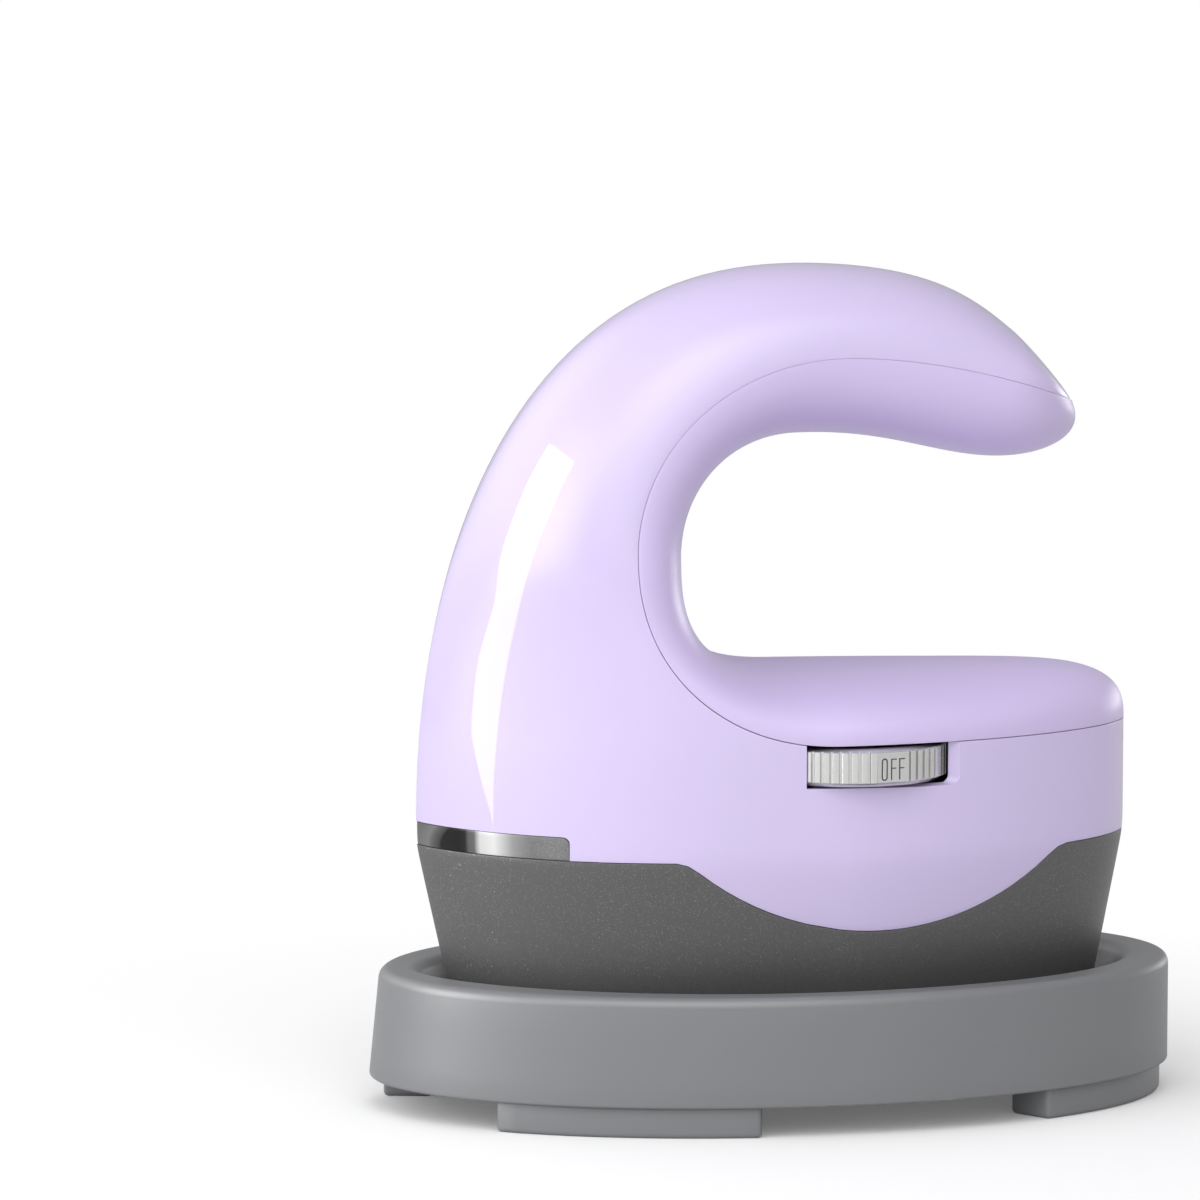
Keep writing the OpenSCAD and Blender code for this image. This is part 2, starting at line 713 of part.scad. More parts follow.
// ---- Hot parts ----
module heating_plate() {
    edge = -housing_draft - plate_setback;
    neck = edge - neck_inset;
    color("#efe6da") {
        wrap(concat(lift(plan(edge - plate_bevel), sole_z), lift(plan(edge), sole_z + plate_bevel)));
        linear_extrude_between(sole_z + plate_bevel - eps, plate_edge_z, edge);
        difference() {
            union() {
                linear_extrude_between(plate_edge_z - eps, neck_z, neck);
                at_each(post_places) translate([0, 0, neck_z - eps])
                    cylinder(h = web_low_z - neck_z + eps, d = post_d, $fn = 32);
                translate([clamp_x, 0, neck_z - eps]) cylinder(h = heater_d + eps, d = post_d, $fn = 32);
                translate([strap_x, 0, neck_z - eps]) cylinder(h = fuse_d + eps, d = boss_d - 2, $fn = 32);
            }
            at_each(post_places) translate([0, 0, web_low_z - 9]) cylinder(h = 10, d = screw_hole_d, $fn = 32);
            translate([clamp_x, 0, clamp_z - 6]) cylinder(h = 7, d = screw_hole_d, $fn = 32);
            translate([strap_x, 0, strap_z - 6]) cylinder(h = 7, d = screw_hole_d, $fn = 32);
        }
    }
}

// U-shaped heating tube with its two terminal pins
module heating_element() {
    pin_d = 2.4;
    color("#8d8f94") translate([0, 0, heater_z]) {
        translate([heater_bend_x, 0, 0]) rotate(90)
            rotate_extrude(angle = 180, $fn = 64) translate([heater_half, 0]) circle(d = heater_d, $fn = 32);
        for (y = [-heater_half, heater_half]) {
            translate([heater_bend_x, y, 0]) rotate([0, 90, 0])
                cylinder(h = heater_end_x - heater_bend_x, d = heater_d, $fn = 32);
            translate([heater_end_x - 3, y, 0]) cylinder(h = shield_z + shield_t + 1.5 - heater_z, d = pin_d, $fn = 24);
        }
    }
}

module element_clamp() {
    span = 2 * heater_half + heater_d;
    color(steel) difference() {
        translate([clamp_x - clamp_w / 2, -span / 2, clamp_z]) cube([clamp_w, span, clamp_t]);
        translate([clamp_x, 0, clamp_z - 1]) cylinder(h = clamp_t + 2, d = screw_hole_d, $fn = 32);
    }
}

// Holes that the pad and the shield need for what stands up through them
module hot_stack_holes(low, high) {
    translate([0, 0, low]) {
        at_each(post_places) cylinder(h = high - low, d = post_d + 1, $fn = 32);
        translate([clamp_x, 0, 0]) cylinder(h = high - low, d = head_d + 1, $fn = 32);
        for (y = [-heater_half, heater_half])
            translate([heater_end_x - 3, y, 0]) cylinder(h = high - low, d = 5, $fn = 32);
    }
}

module insulation_pad() {
    color("#e6e2d6") difference() {
        linear_extrude_between(pad_z, pad_z + pad_t, -pad_inset);
        hot_stack_holes(pad_z - 1, pad_z + pad_t + 1);
    }
}

module heat_shield() {
    color(steel) difference() {
        linear_extrude_between(shield_z, shield_z + shield_t, -pad_inset);
        hot_stack_holes(shield_z - 1, shield_z + shield_t + 1);
    }
}

module thermostat() {
    tab_w = 4;
    color("#3d3f44") translate([heater_bend_x + 2, 0, neck_z]) {
        cylinder(h = 4, d = 14, $fn = 48);
        translate([0, 0, 4 - eps]) cylinder(h = 1.4, d = 10, $fn = 48);
        for (side = [-1, 1])
            translate([-tab_w / 2, side * 5.5 - 0.4, 4 - eps]) cube([tab_w, 0.8, 2]);
    }
}

module thermal_fuse() {
    color(brass) translate([strap_x - 6, fuse_y, neck_z + fuse_d / 2]) rotate([0, 90, 0]) {
        cylinder(h = 12, d = fuse_d, $fn = 32);
        translate([0, 0, -3]) cylinder(h = 18, d = 1, $fn = 24);
    }
}

module temperature_sensor() {
    color("#2d5f8a") translate([strap_x - 4, -fuse_y, neck_z + fuse_d / 2]) rotate([0, 90, 0]) {
        cylinder(h = 8, d = fuse_d, $fn = 32);
        translate([0, 0, -3]) cylinder(h = 4, d = 1.4, $fn = 24);
    }
}

module sensor_clip() {
    color(steel) difference() {
        translate([strap_x - 3, -fuse_y - fuse_d / 2, strap_z]) cube([6, 2 * fuse_y + fuse_d, strap_t]);
        translate([strap_x, 0, strap_z - 1]) cylinder(h = strap_t + 2, d = screw_hole_d, $fn = 32);
    }
}

// ---- Electronics ----
module control_board() {
    color(board_green) translate([0, 0, board_z]) linear_extrude(board_t) difference() {
        intersection() {
            translate([board_front_x, -body_w / 2]) square([board_rear_x - board_front_x, body_w]);
            polygon(plan(-board_inset));
        }
        for (p = board_post_places) translate(p) circle(d = screw_hole_d, $fn = 32);
    }
}

module board_parts() {
    color("#2b2b2e") translate([0, 0, board_top_z]) {
        translate([board_mid_x - 14, -6, 0]) cube([15, 12, 9]);
        translate([board_mid_x + 6, 2, 0]) cube([8, 8, 3]);
        translate([board_mid_x - 16, 12, 0]) cube([6, 4, 2]);
    }
    color("#3c5a8c") translate([board_mid_x + 6, 18, board_top_z]) cylinder(h = 9, d = 8, $fn = 32);
    color("#3c5a8c") translate([board_mid_x - 8, -14, board_top_z]) cylinder(h = 7, d = 6, $fn = 32);
}

module board_spacers() {
    color(brass) at_each(board_post_places) translate([0, 0, web_z]) difference() {
        cylinder(h = board_rise, d = screw_d + 3, $fn = 32);
        translate([0, 0, -1]) cylinder(h = board_rise + 2, d = screw_hole_d, $fn = 32);
    }
}

module indicator_board() {
    color(board_green)
        translate([light_board_x, -light_board_w / 2, web_z])
            cube([light_board_t, light_board_w, light_board_top - web_z]);
}

module indicator_leds() {
    color("#f4f1e6") for (y = [-led_pitch, 0, led_pitch])
        translate([light_board_x, y, part_z + window_h / 2]) rotate([0, -90, 0]) {
            cylinder(h = 2.5, d = led_d, $fn = 32);
            translate([0, 0, 2.5]) sphere(d = led_d, $fn = 32);
        }
}

module switch_bracket() {
    leg_y = dial_y + switch_w / 2 + 1;
    half = switch_w / 2 + 1.6;
    color(steel) {
        translate([0, 0, bracket_z]) linear_extrude(bracket_t) difference() {
            translate([dial_x - half, dial_y - switch_w / 2])
                square([2 * half, switch_w + 1 + bracket_t]);
            translate([dial_x, dial_y]) circle(d = bush_d + 0.1, $fn = 48);
        }
        for (side = [-1, 1])
            translate([dial_x + side * (half - 2) - 2, leg_y, board_top_z])
                cube([4, bracket_t, bracket_z - board_top_z + eps]);
    }
}

module rotary_switch() {
    color("#26272a") translate([dial_x, dial_y, 0]) difference() {
        union() {
            translate([-switch_w / 2, -switch_w / 2, switch_z]) cube([switch_w, switch_w, switch_h]);
            translate([0, 0, bracket_z - eps])
                cylinder(h = bush_top_z - bracket_z + eps, d = bush_d, $fn = 48);
        }
        translate([0, 0, switch_z + 1.5])
            cylinder(h = bush_top_z - switch_z, d = shaft_d + 2 * shaft_fit, $fn = 48);
    }
}

shaft_low_z = switch_z + 2;
hub_cap = 1;
module switch_shaft() {
    color("#d9d9dc") translate([dial_x, dial_y, shaft_low_z])
        cylinder(h = dial_z + dial_t - hub_cap - shaft_low_z, d = shaft_d, $fn = 48);
}

// Rim of the dial: square ribs all round, but for a flat panel that faces the user at the off mark
panel_half_a = 10;
panel_a = -75;
module thumb_dial() {
    edge = [for (k = [0:dial_ribs - 1]) each
            let (a = panel_a + panel_half_a + (360 - 2 * panel_half_a) * k / dial_ribs,
                 step = (360 - 2 * panel_half_a) / dial_ribs, low = dial_d / 2 - rib_depth, top = dial_d / 2)
            [[low, a], [low, a + 0.28 * step], [top, a + 0.36 * step], [top, a + 0.92 * step]]];
    panel = [for (side = [-1, 1]) [dial_d / 2, panel_a + side * panel_half_a]];
    color("#c9cacd") translate([dial_x, dial_y, dial_z]) difference() {
        linear_extrude(dial_t)
            polygon([for (q = concat(edge, panel)) [q[0] * cos(q[1]), q[0] * sin(q[1])]]);
        translate([0, 0, -1]) cylinder(h = dial_t - hub_cap + 1, d = shaft_d, $fn = 48);
    }
}

// ---- Power inlet ----
module terminal_block() {
    cell = block_w / 3;
    color("#e9e7e0") translate([block_front_x, -block_w / 2, web_z]) difference() {
        cube([block_l, block_w, block_h]);
        for (k = [0:2]) translate([block_l / 2, cell * (k + 0.5), block_h - 4])
            cylinder(h = 5, d = 4, $fn = 32);
    }
    color(steel) for (k = [-1:1])
        translate([block_front_x + block_l / 2, k * cell, web_z + block_h - 4]) cylinder(h = 2, d = 3.9, $fn = 32);
}

flange_t = 2.2;
flange_x = heel_reach - 7.5;
bushing_face_x = heel_reach - 1.5;
module cord_bushing() {
    color("#3a3a3c") translate([0, 0, inlet_z]) rotate([0, 90, 0]) difference() {
        union() {
            translate([0, 0, flange_x]) cylinder(h = flange_t, d = bushing_d + 3, $fn = 48);
            translate([0, 0, flange_x]) cylinder(h = bushing_face_x - flange_x, d = bushing_d, $fn = 48);
        }
        translate([0, 0, flange_x - 1]) cylinder(h = bushing_face_x - flange_x + 2, d = cord_bore_d, $fn = 48);
    }
}

module cord_clamp() {
    color("#3a3a3c") translate([cord_rest_x, -cord_rest_w / 2, inlet_z + saddle_gap]) difference() {
        cube([cord_rest_l, cord_rest_w, saddle_h]);
        translate([-1, cord_rest_w / 2, -saddle_gap]) rotate([0, 90, 0])
            cylinder(h = cord_rest_l + 2, d = cord_bore_d, $fn = 32);
        for (y = [-cord_screw_y, cord_screw_y])
            translate([cord_rest_l / 2, cord_rest_w / 2 + y, -1]) cylinder(h = saddle_h + 2, d = screw_hole_d, $fn = 32);
    }
}

// Lead wires: tubes swept along their routes
lead_sides = 8;
function unit(v) = v / norm(v);
function run_of(route, i) = unit(route[min(i + 1, len(route) - 1)] - route[max(i - 1, 0)]);
function across(run) = unit(cross(run, abs(run.z) > 0.9 ? [0, 1, 0] : [0, 0, 1]));
module tube(route, d) {
    n = len(route);
    points = [for (i = [0:n - 1]) each
              let (run = run_of(route, i), u = across(run), v = cross(run, u))
              [for (k = [0:lead_sides - 1])
                  route[i] + d / 2 * (u * cos(360 * k / lead_sides) + v * sin(360 * k / lead_sides))]];
    sides = [for (i = [0:n - 2], k = [0:lead_sides - 1])
             let (a = i * lead_sides + k, b = i * lead_sides + (k + 1) % lead_sides)
             each [[a, a + lead_sides, b], [b, a + lead_sides, b + lead_sides]]];
    start = [for (k = [0:lead_sides - 1]) k];
    end = [for (k = [lead_sides - 1:-1:0]) (n - 1) * lead_sides + k];
    polyhedron(points, concat(sides, [start, end]));
}
function smooth_route(p, steps) = [for (i = [0:steps]) bezier(p, i / steps)];

lead_lift = 4;
lead_gap = 0.25;
module leads() {
    pin_top = shield_z + shield_t + 1.5 + lead_gap;
    block_x = block_front_x - lead_gap;
    board_end_z = board_top_z + lead_gap;
    light_x = light_board_x + light_board_t + lead_gap;
    block_y = block_w / 3;
    color("#c8483c") for (side = [-1, 1])
        tube(smooth_route([[heater_end_x - 3, side * heater_half, pin_top],
                           [heater_end_x - 3, side * heater_half, pin_top + 9],
                           [block_x - 5.75, side * block_y, web_z + 3],
                           [block_x, side * block_y, web_z + 3]], 10), lead_d);
    color("#2d4f9e") tube(smooth_route([[board_rear_x - 4, 3, board_end_z],
                                        [board_rear_x - 4, 3, board_end_z + lead_lift],
                                        [block_x - 3, 0, web_z + 7],
                                        [block_x, 0, web_z + 7]], 10), lead_d);
    color("#e8e4da") tube(smooth_route([[light_x, 2, web_z + 3],
                                        [light_x + 9, 2, web_z + 3],
                                        [board_front_x + 3, 2, board_end_z + 6],
                                        [board_front_x + 3, 2, board_end_z]], 10), lead_d);
}

// ---- Fasteners ----
module plate_screws() {
    color(steel) at_each(post_places) translate([0, 0, web_z]) screw(web_t + 8);
}

module housing_screws() {
    color(steel) at_each(shell_boss_places) translate([0, 0, web_low_z]) mirror([0, 0, 1]) screw(web_t + 10);
}

module cover_screws() {
    color(steel) at_each(cover_boss_places) translate([0, 0, shelf_z]) mirror([0, 0, 1]) screw(shelf_t + 6);
}

module clamp_screws() {
    color(steel) {
        translate([clamp_x, 0, clamp_z + clamp_t]) screw(clamp_t + 4);
        translate([strap_x, 0, strap_z + strap_t]) screw(strap_t + 3);
        for (y = [-cord_screw_y, cord_screw_y])
            translate([cord_rest_x + cord_rest_l / 2, y, inlet_z + saddle_gap + saddle_h]) screw(saddle_h + 7);
    }
}

module board_screws() {
    color(steel) at_each(board_post_places) translate([0, 0, board_top_z]) screw(board_t + board_rise + 2);
}

stand_body();
base_housing();
outer_shell();
inner_cover();
indicator_window();
heating_plate();
heating_element();
element_clamp();
insulation_pad();
heat_shield();
thermostat();
thermal_fuse();
temperature_sensor();
sensor_clip();
control_board();
board_parts();
board_spacers();
indicator_board();
indicator_leds();
rotary_switch();
switch_bracket();
switch_shaft();
thumb_dial();
terminal_block();
cord_bushing();
cord_clamp();
leads();
plate_screws();
housing_screws();
cover_screws();
clamp_screws();
board_screws();
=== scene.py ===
"""Dressed model of a mini heat press on its cooling stand."""
import json
import math

import bmesh
import bpy
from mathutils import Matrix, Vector


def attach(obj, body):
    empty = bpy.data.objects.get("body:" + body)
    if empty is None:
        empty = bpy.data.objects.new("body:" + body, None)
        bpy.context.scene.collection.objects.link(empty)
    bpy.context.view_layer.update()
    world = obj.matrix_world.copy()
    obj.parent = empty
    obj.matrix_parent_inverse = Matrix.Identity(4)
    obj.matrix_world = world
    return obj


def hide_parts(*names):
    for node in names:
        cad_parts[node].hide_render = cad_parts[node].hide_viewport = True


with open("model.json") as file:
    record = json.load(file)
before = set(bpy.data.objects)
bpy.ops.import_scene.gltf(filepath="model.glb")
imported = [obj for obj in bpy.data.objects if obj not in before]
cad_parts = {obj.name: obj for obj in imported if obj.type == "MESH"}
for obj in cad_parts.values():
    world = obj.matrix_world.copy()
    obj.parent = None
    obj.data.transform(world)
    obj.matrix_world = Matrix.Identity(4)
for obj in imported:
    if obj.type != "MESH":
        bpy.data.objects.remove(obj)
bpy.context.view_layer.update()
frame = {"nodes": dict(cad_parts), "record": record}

MM = 0.001

# ---- Sizes in millimetres: those of the part's source, a few of them fitted further to the looks ----
TIP_REACH, HEEL_REACH, BODY_W, BELLY_X = 59.4, 59.6, 64.0, 4.4
FLANK_POWER, TIP_POWER, HEEL_POWER = 2.95, 0.77, 1.75
TIP_GAIN, HEEL_GAIN, HEEL_POWER_GAIN = 1.08, 0.92, 0.009
SOLE_Z, PLATE_EDGE_Z, HOUSING_Z, PART_Z, SEAM_Z = 11.4, 15.1, 15.4, 43.4, 61.75
DECK_RISE, DECK_Z, CREST_Z = 9.75, 71.5, 137.7
DRAFT, HOUSING_H, CREASE = 5.8, 28.0, 0.05
WAVE_DEPTH, WAVE_R, WAVE_X, WAVE_EASE = 12.0, 48.7, 11.4, 6.0
SEAM_R, WAIST_X = 29.85, -28.1
WAIST_Z = SEAM_Z + SEAM_R
SEAM_TOP = (7.4, WAIST_Z + 31.6)
NOSE_REACH = 49.6
NOSE = (NOSE_REACH - 0.2, SEAM_Z + 52.75)
ARCH_X, ARCH_BASE_Z = 1.5, PART_Z + 4.2
GRIP_X, GRIP_Z = -17.6, DECK_Z + 18.5
GRIP_TOP = (3.4, DECK_Z + 38.5)
BELLY_LOW = (37.4, DECK_Z + 34)
HANDLE_HALF, COLUMN_HALF, NOSE_LEN = 20.5, 27.0, 15.0
NOSE_HALF = HANDLE_HALF - 2
# Powers of outlines and sections: 2 is round and more is boxier; at a tip 0.5 is round, more is sharper
NOSE_POWER, SEAM_UPPER_POWER, SEAM_LOWER_POWER = 2.2, 2, 2.15
GRIP_UPPER_POWER, GRIP_LOWER_POWER = 2.15, 2.8
HANDLE_FLANK, COLUMN_FLANK, HANDLE_TIP, COLUMN_TIP = 2.2, 2.4, 0.5, 0.6
WINDOW_H, WINDOW_END_X = 3.8, -38.6
DIAL_R, DIAL_T, DIAL_X, DIAL_Y, DIAL_Z = 16.2, 5.9, 8.4, -18.8, 55.5
LEG_H, FLOOR_Z, RIM_Z, RIM_W = 5.0, 9.4, 22.8, 7.0
TRAY_X, TRAY_FLARE, RECESS_DRAW, RECESS_HEEL = 0.9, 1.8, 4.4, 1.3
TRAY_POINT, RECESS_POINT = 0.5, 0.6
RECESS_END_GAP, RECESS_SIDE_GAP = 4.2, 5.4
DRAFT_AT_RIM = DRAFT * (PART_Z - RIM_Z) / HOUSING_H
RECESS_L = (TIP_REACH + HEEL_REACH) / 2 - TIP_GAIN * DRAFT_AT_RIM + RECESS_END_GAP
RECESS_W = BODY_W / 2 - DRAFT_AT_RIM + RECESS_SIDE_GAP


def lerp(a, b, t):
    return a + (b - a) * t


def bezier(p, t):
    """Point of a cubic curve with ends p[0] and p[3]."""
    u = 1 - t
    w = (u ** 3, 3 * u * u * t, 3 * u * t * t, t ** 3)
    return (sum(k * q[0] for k, q in zip(w, p)), sum(k * q[1] for k, q in zip(w, p)))


def quarter(cx, cz, rx, rz, power, deg):
    """Point of a quarter turn round a centre, in side view."""
    c, s = max(0.0, math.cos(math.radians(deg))), max(0.0, math.sin(math.radians(deg)))
    return (cx + rx * c ** (2 / power), cz + rz * s ** (2 / power))


# Curves in side view, each with its two ends and a handle for each
NOSE_SEAM = [NOSE, (NOSE[0] - 12, NOSE[1] + 4.8), (SEAM_TOP[0] + 14, SEAM_TOP[1]), SEAM_TOP]
ARCH_NOSE = [NOSE, (NOSE[0] - 12, NOSE[1] + 15.4), (ARCH_X + 30.4, CREST_Z), (ARCH_X, CREST_Z)]
ARCH_FRONT = [(ARCH_X, CREST_Z), (ARCH_X - 38.6, CREST_Z), (-TIP_REACH, ARCH_BASE_Z + 50.8),
              (-TIP_REACH, ARCH_BASE_Z)]
GRIP_UNDER = [BELLY_LOW, (BELLY_LOW[0] - 10, BELLY_LOW[1]), (GRIP_TOP[0] + 16, GRIP_TOP[1] + 0.2), GRIP_TOP]
GRIP_NOSE = [NOSE, (NOSE_REACH + 3.2, DECK_Z + 37.3), (BELLY_LOW[0] + 8, BELLY_LOW[1]), BELLY_LOW]


def front_t(z):
    """How far along the front curve of the arch height z is."""
    lo, hi = 0.0, 1.0
    for _ in range(24):
        mid = (lo + hi) / 2
        if bezier(ARCH_FRONT, mid)[1] > z:
            lo = mid
        else:
            hi = mid
    return (lo + hi) / 2


def front_x(z):
    """Place of the front tip at height z."""
    return -TIP_REACH if z <= ARCH_BASE_Z else bezier(ARCH_FRONT, front_t(z))[0]


def draft_at(z):
    """How far the side stands in at height z, with a softly rounded crease at the parting line."""
    h = (PART_Z - z) / HOUSING_H
    return -DRAFT * (h + math.hypot(h, CREASE)) / 2


def plan_point(deg, grow, reach):
    """Outline point: 0 at the front tip, 90 at the belly, 180 at the heel."""
    c, s = math.cos(math.radians(deg)), max(0.0, math.sin(math.radians(deg)))
    half = BODY_W / 2 + grow
    if deg <= 90:
        tip = BELLY_X + reach + TIP_GAIN * grow
        return (BELLY_X - tip * max(0.0, c) ** (2 / FLANK_POWER), half * s ** (2 * TIP_POWER))
    power = HEEL_POWER + HEEL_POWER_GAIN * grow
    heel = HEEL_REACH + HEEL_GAIN * grow - BELLY_X
    return (BELLY_X + heel * max(0.0, -c) ** (2 / power), half * s ** (2 / power))


def wave_z(x):
    """Height of the line between housing and shell, in side view."""
    big_z = PART_Z - WAVE_DEPTH + WAVE_R
    run = math.sqrt((WAVE_R + WAVE_EASE) ** 2 - (big_z - PART_Z + WAVE_EASE) ** 2)
    d = abs(x - WAVE_X)
    if d >= run:
        return PART_Z
    low = PART_Z - WAVE_EASE
    turn = math.atan2(big_z - low, run)
    if d > run - WAVE_EASE * math.cos(turn):
        return low + math.sqrt(WAVE_EASE ** 2 - (run - d) ** 2)
    return big_z - math.sqrt(WAVE_R ** 2 - d * d)


# ---- Mesh tools ----
# Points of a skin or of a loft that are nearer to each other than this are one
SKIN_MERGE, LOFT_MERGE = 0.002, 0.004


def new_object(name, verts, faces, scale=MM):
    mesh = bpy.data.meshes.new(name)
    mesh.from_pydata([(x * scale, y * scale, z * scale) for x, y, z in verts], [], faces)
    mesh.validate()
    obj = bpy.data.objects.new(name, mesh)
    bpy.context.collection.objects.link(obj)
    return obj


def edit(obj, work):
    bm = bmesh.new()
    bm.from_mesh(obj.data)
    work(bm)
    bm.to_mesh(obj.data)
    bm.free()
    obj.data.update()


def clean(obj, dist):
    """Merges points, and turns all faces one way, outwards where the surface is closed."""
    def work(bm):
        bmesh.ops.remove_doubles(bm, verts=bm.verts, dist=dist * MM)
        bmesh.ops.dissolve_degenerate(bm, edges=bm.edges, dist=dist * MM * 0.5)
        bmesh.ops.recalc_face_normals(bm, faces=bm.faces)
    edit(obj, work)


def smooth(obj, deg=32):
    """Shades the object smooth, but for edges that turn more than deg."""
    def work(bm):
        for f in bm.faces:
            f.smooth = True
        for e in bm.edges:
            e.smooth = len(e.link_faces) == 2 and e.calc_face_angle(0.0) < math.radians(deg)
    edit(obj, work)
    return obj


def bake(obj):
    """Applies the object's modifiers."""
    deps = bpy.context.evaluated_depsgraph_get()
    mesh = bpy.data.meshes.new_from_object(obj.evaluated_get(deps))
    obj.modifiers.clear()
    obj.data = mesh
    return obj


def thicken(obj, wall, round_r, segments=3):
    """Gives an open skin its wall, inwards, and rounds the rims."""
    m = obj.modifiers.new("wall", "SOLIDIFY")
    m.thickness, m.offset, m.use_even_offset = wall * MM, -1, False
    bake(obj)
    bevel(obj, round_r, segments, deg=55)


def bevel(obj, width, segments, deg):
    """Rounds the edges that turn more than deg."""
    m = obj.modifiers.new("edges", "BEVEL")
    m.width, m.segments, m.limit_method, m.angle_limit = width * MM, segments, "ANGLE", math.radians(deg)
    m.use_clamp_overlap = True
    m.harden_normals = False
    bake(obj)


def carve(obj, cutter, operation="DIFFERENCE"):
    """Takes the cutter off the object, or with INTERSECT keeps what lies inside it."""
    m = obj.modifiers.new("cut", "BOOLEAN")
    m.operation, m.object, m.solver = operation, cutter, "MANIFOLD"
    bake(obj)
    bpy.data.objects.remove(cutter)


def loft(name, rings, caps=True):
    """Closed surface over rings of the same length, each a loop; a ring of one point closes an end."""
    verts, faces, starts = [], [], []
    for ring in rings:
        starts.append(len(verts))
        verts.extend(ring)
    n = max(len(r) for r in rings)
    for k in range(len(rings) - 1):
        a, b = starts[k], starts[k + 1]
        one_a, one_b = len(rings[k]) == 1, len(rings[k + 1]) == 1
        for i in range(n):
            j = (i + 1) % n
            if one_a:
                faces.append((a, b + i, b + j))
            elif one_b:
                faces.append((a + i, b, a + j))
            else:
                faces.append((a + i, b + i, b + j, a + j))
    if caps:
        for k in (0, -1):
            if len(rings[k]) > 1:
                faces.append(tuple(range(starts[k], starts[k] + n)))
    obj = new_object(name, verts, faces)
    clean(obj, LOFT_MERGE)
    return obj


def join(name, objects):
    """One object from several."""
    bm = bmesh.new()
    for o in objects:
        bm.from_mesh(o.data)
        bpy.data.objects.remove(o)
    mesh = bpy.data.meshes.new(name)
    bm.to_mesh(mesh)
    bm.free()
    obj = bpy.data.objects.new(name, mesh)
    bpy.context.collection.objects.link(obj)
    return obj


def block(name, low, high, round_r=0.3, segments=3):
    """Box between two corners with rounded edges."""
    (x0, y0, z0), (x1, y1, z1) = low, high
    ring = [(x0, y0), (x1, y0), (x1, y1), (x0, y1)]
    obj = loft(name, [[(x, y, z0) for x, y in ring], [(x, y, z1) for x, y in ring]])
    bevel(obj, round_r, segments, deg=40)
    return obj


def rod(name, centre, radius, low, high, round_r=0.25, steps=48):
    """Upright round bar between two heights."""
    circle = [(centre[0] + radius * math.cos(2 * math.pi * k / steps),
               centre[1] + radius * math.sin(2 * math.pi * k / steps)) for k in range(steps)]
    obj = loft(name, [[(x, y, low) for x, y in circle], [(x, y, high) for x, y in circle]])
    bevel(obj, round_r, segments=2, deg=50)
    return obj


# ---- Stations of the handle ----
ROWS = {"nose": 20, "top": 24, "back": 30, "foot": 34}   # stations of each span
SIDE_ROWS = 30   # rows of the body's side
FRONT = 56   # columns from the tip to the belly, on each side
REAR = 72    # columns round the heel
COLUMNS = 2 * FRONT + REAR
NOSE_SHARE = 1 / 3   # of the curves at the nose; the top takes the rest
# What a station holds: three points, the half width, the seam's share of the depth, and two powers
SEAM, OUTER, INNER, HALF, SHARE, FLANK, TIP = range(7)


def nose_width(x):
    """Half width of the nose, closing round towards its end."""
    u = min(1.0, (NOSE[0] - x) / NOSE_LEN)
    return NOSE_HALF * math.sqrt(max(0.0, 1 - (1 - u) ** NOSE_POWER))


def even_out(out, first, passes=14):
    """Evens out the changes of width and power where the spans of stations meet."""
    for _ in range(passes):
        for col in (HALF, FLANK, TIP):
            vals = [st[col] for st in out]
            for i in range(first, len(out) - 1):
                out[i][col] = (vals[i - 1] + 2 * vals[i] + vals[i + 1]) / 4


def stations():
    """Sections from the nose over the top and down the back to the foot of the column."""
    out = []
    for k in range(ROWS["nose"]):
        v = k / ROWS["nose"]
        t = v ** 2 * NOSE_SHARE
        s = bezier(NOSE_SEAM, t)
        out.append([s, bezier(ARCH_NOSE, t), bezier(GRIP_NOSE, v), nose_width(s[0]), 0,
                    HANDLE_FLANK, HANDLE_TIP])
    for k in range(ROWS["top"]):
        v = k / ROWS["top"]
        t = lerp(NOSE_SHARE, 1, v)
        s = bezier(NOSE_SEAM, t)
        half = min(nose_width(s[0]), NOSE_HALF) + (HANDLE_HALF - NOSE_HALF) * v
        out.append([s, bezier(ARCH_NOSE, t), bezier(GRIP_UNDER, v), half, 0, HANDLE_FLANK, HANDLE_TIP])
    end_t = front_t(WAIST_Z)
    for k in range(ROWS["back"]):
        v = k / ROWS["back"]
        deg = 90 - 90 * v
        s = quarter(SEAM_TOP[0], WAIST_Z, WAIST_X - SEAM_TOP[0], SEAM_TOP[1] - WAIST_Z, SEAM_UPPER_POWER, deg)
        grip = quarter(GRIP_TOP[0], GRIP_Z, GRIP_X - GRIP_TOP[0], GRIP_TOP[1] - GRIP_Z, GRIP_UPPER_POWER, deg)
        out.append([s, bezier(ARCH_FRONT, end_t * v), grip, lerp(HANDLE_HALF, COLUMN_HALF, v), 0,
                    lerp(HANDLE_FLANK, COLUMN_FLANK, v), lerp(HANDLE_TIP, COLUMN_TIP, v)])
    for k in range(ROWS["foot"] + 1):
        deg = 90 * k / ROWS["foot"]
        s = quarter(BELLY_X, WAIST_Z, WAIST_X - BELLY_X, -SEAM_R, SEAM_LOWER_POWER, deg)
        grip = quarter(BELLY_X, GRIP_Z, GRIP_X - BELLY_X, DECK_Z - GRIP_Z, GRIP_LOWER_POWER, deg)
        v = (WAIST_Z - s[1]) / SEAM_R
        v_soft = math.sin(math.radians(90 * v))
        belly, front = lerp(WAIST_X, BELLY_X, v_soft), front_x(s[1])
        out.append([s, (front, s[1]), grip, lerp(COLUMN_HALF, BODY_W / 2, v_soft),
                    max(0.0, belly - s[0]) / (belly - front), lerp(COLUMN_FLANK, FLANK_POWER, v_soft),
                    lerp(COLUMN_TIP, TIP_POWER, v_soft)])
    even_out(out, ROWS["nose"] + 4)
    return out


STATIONS = stations()


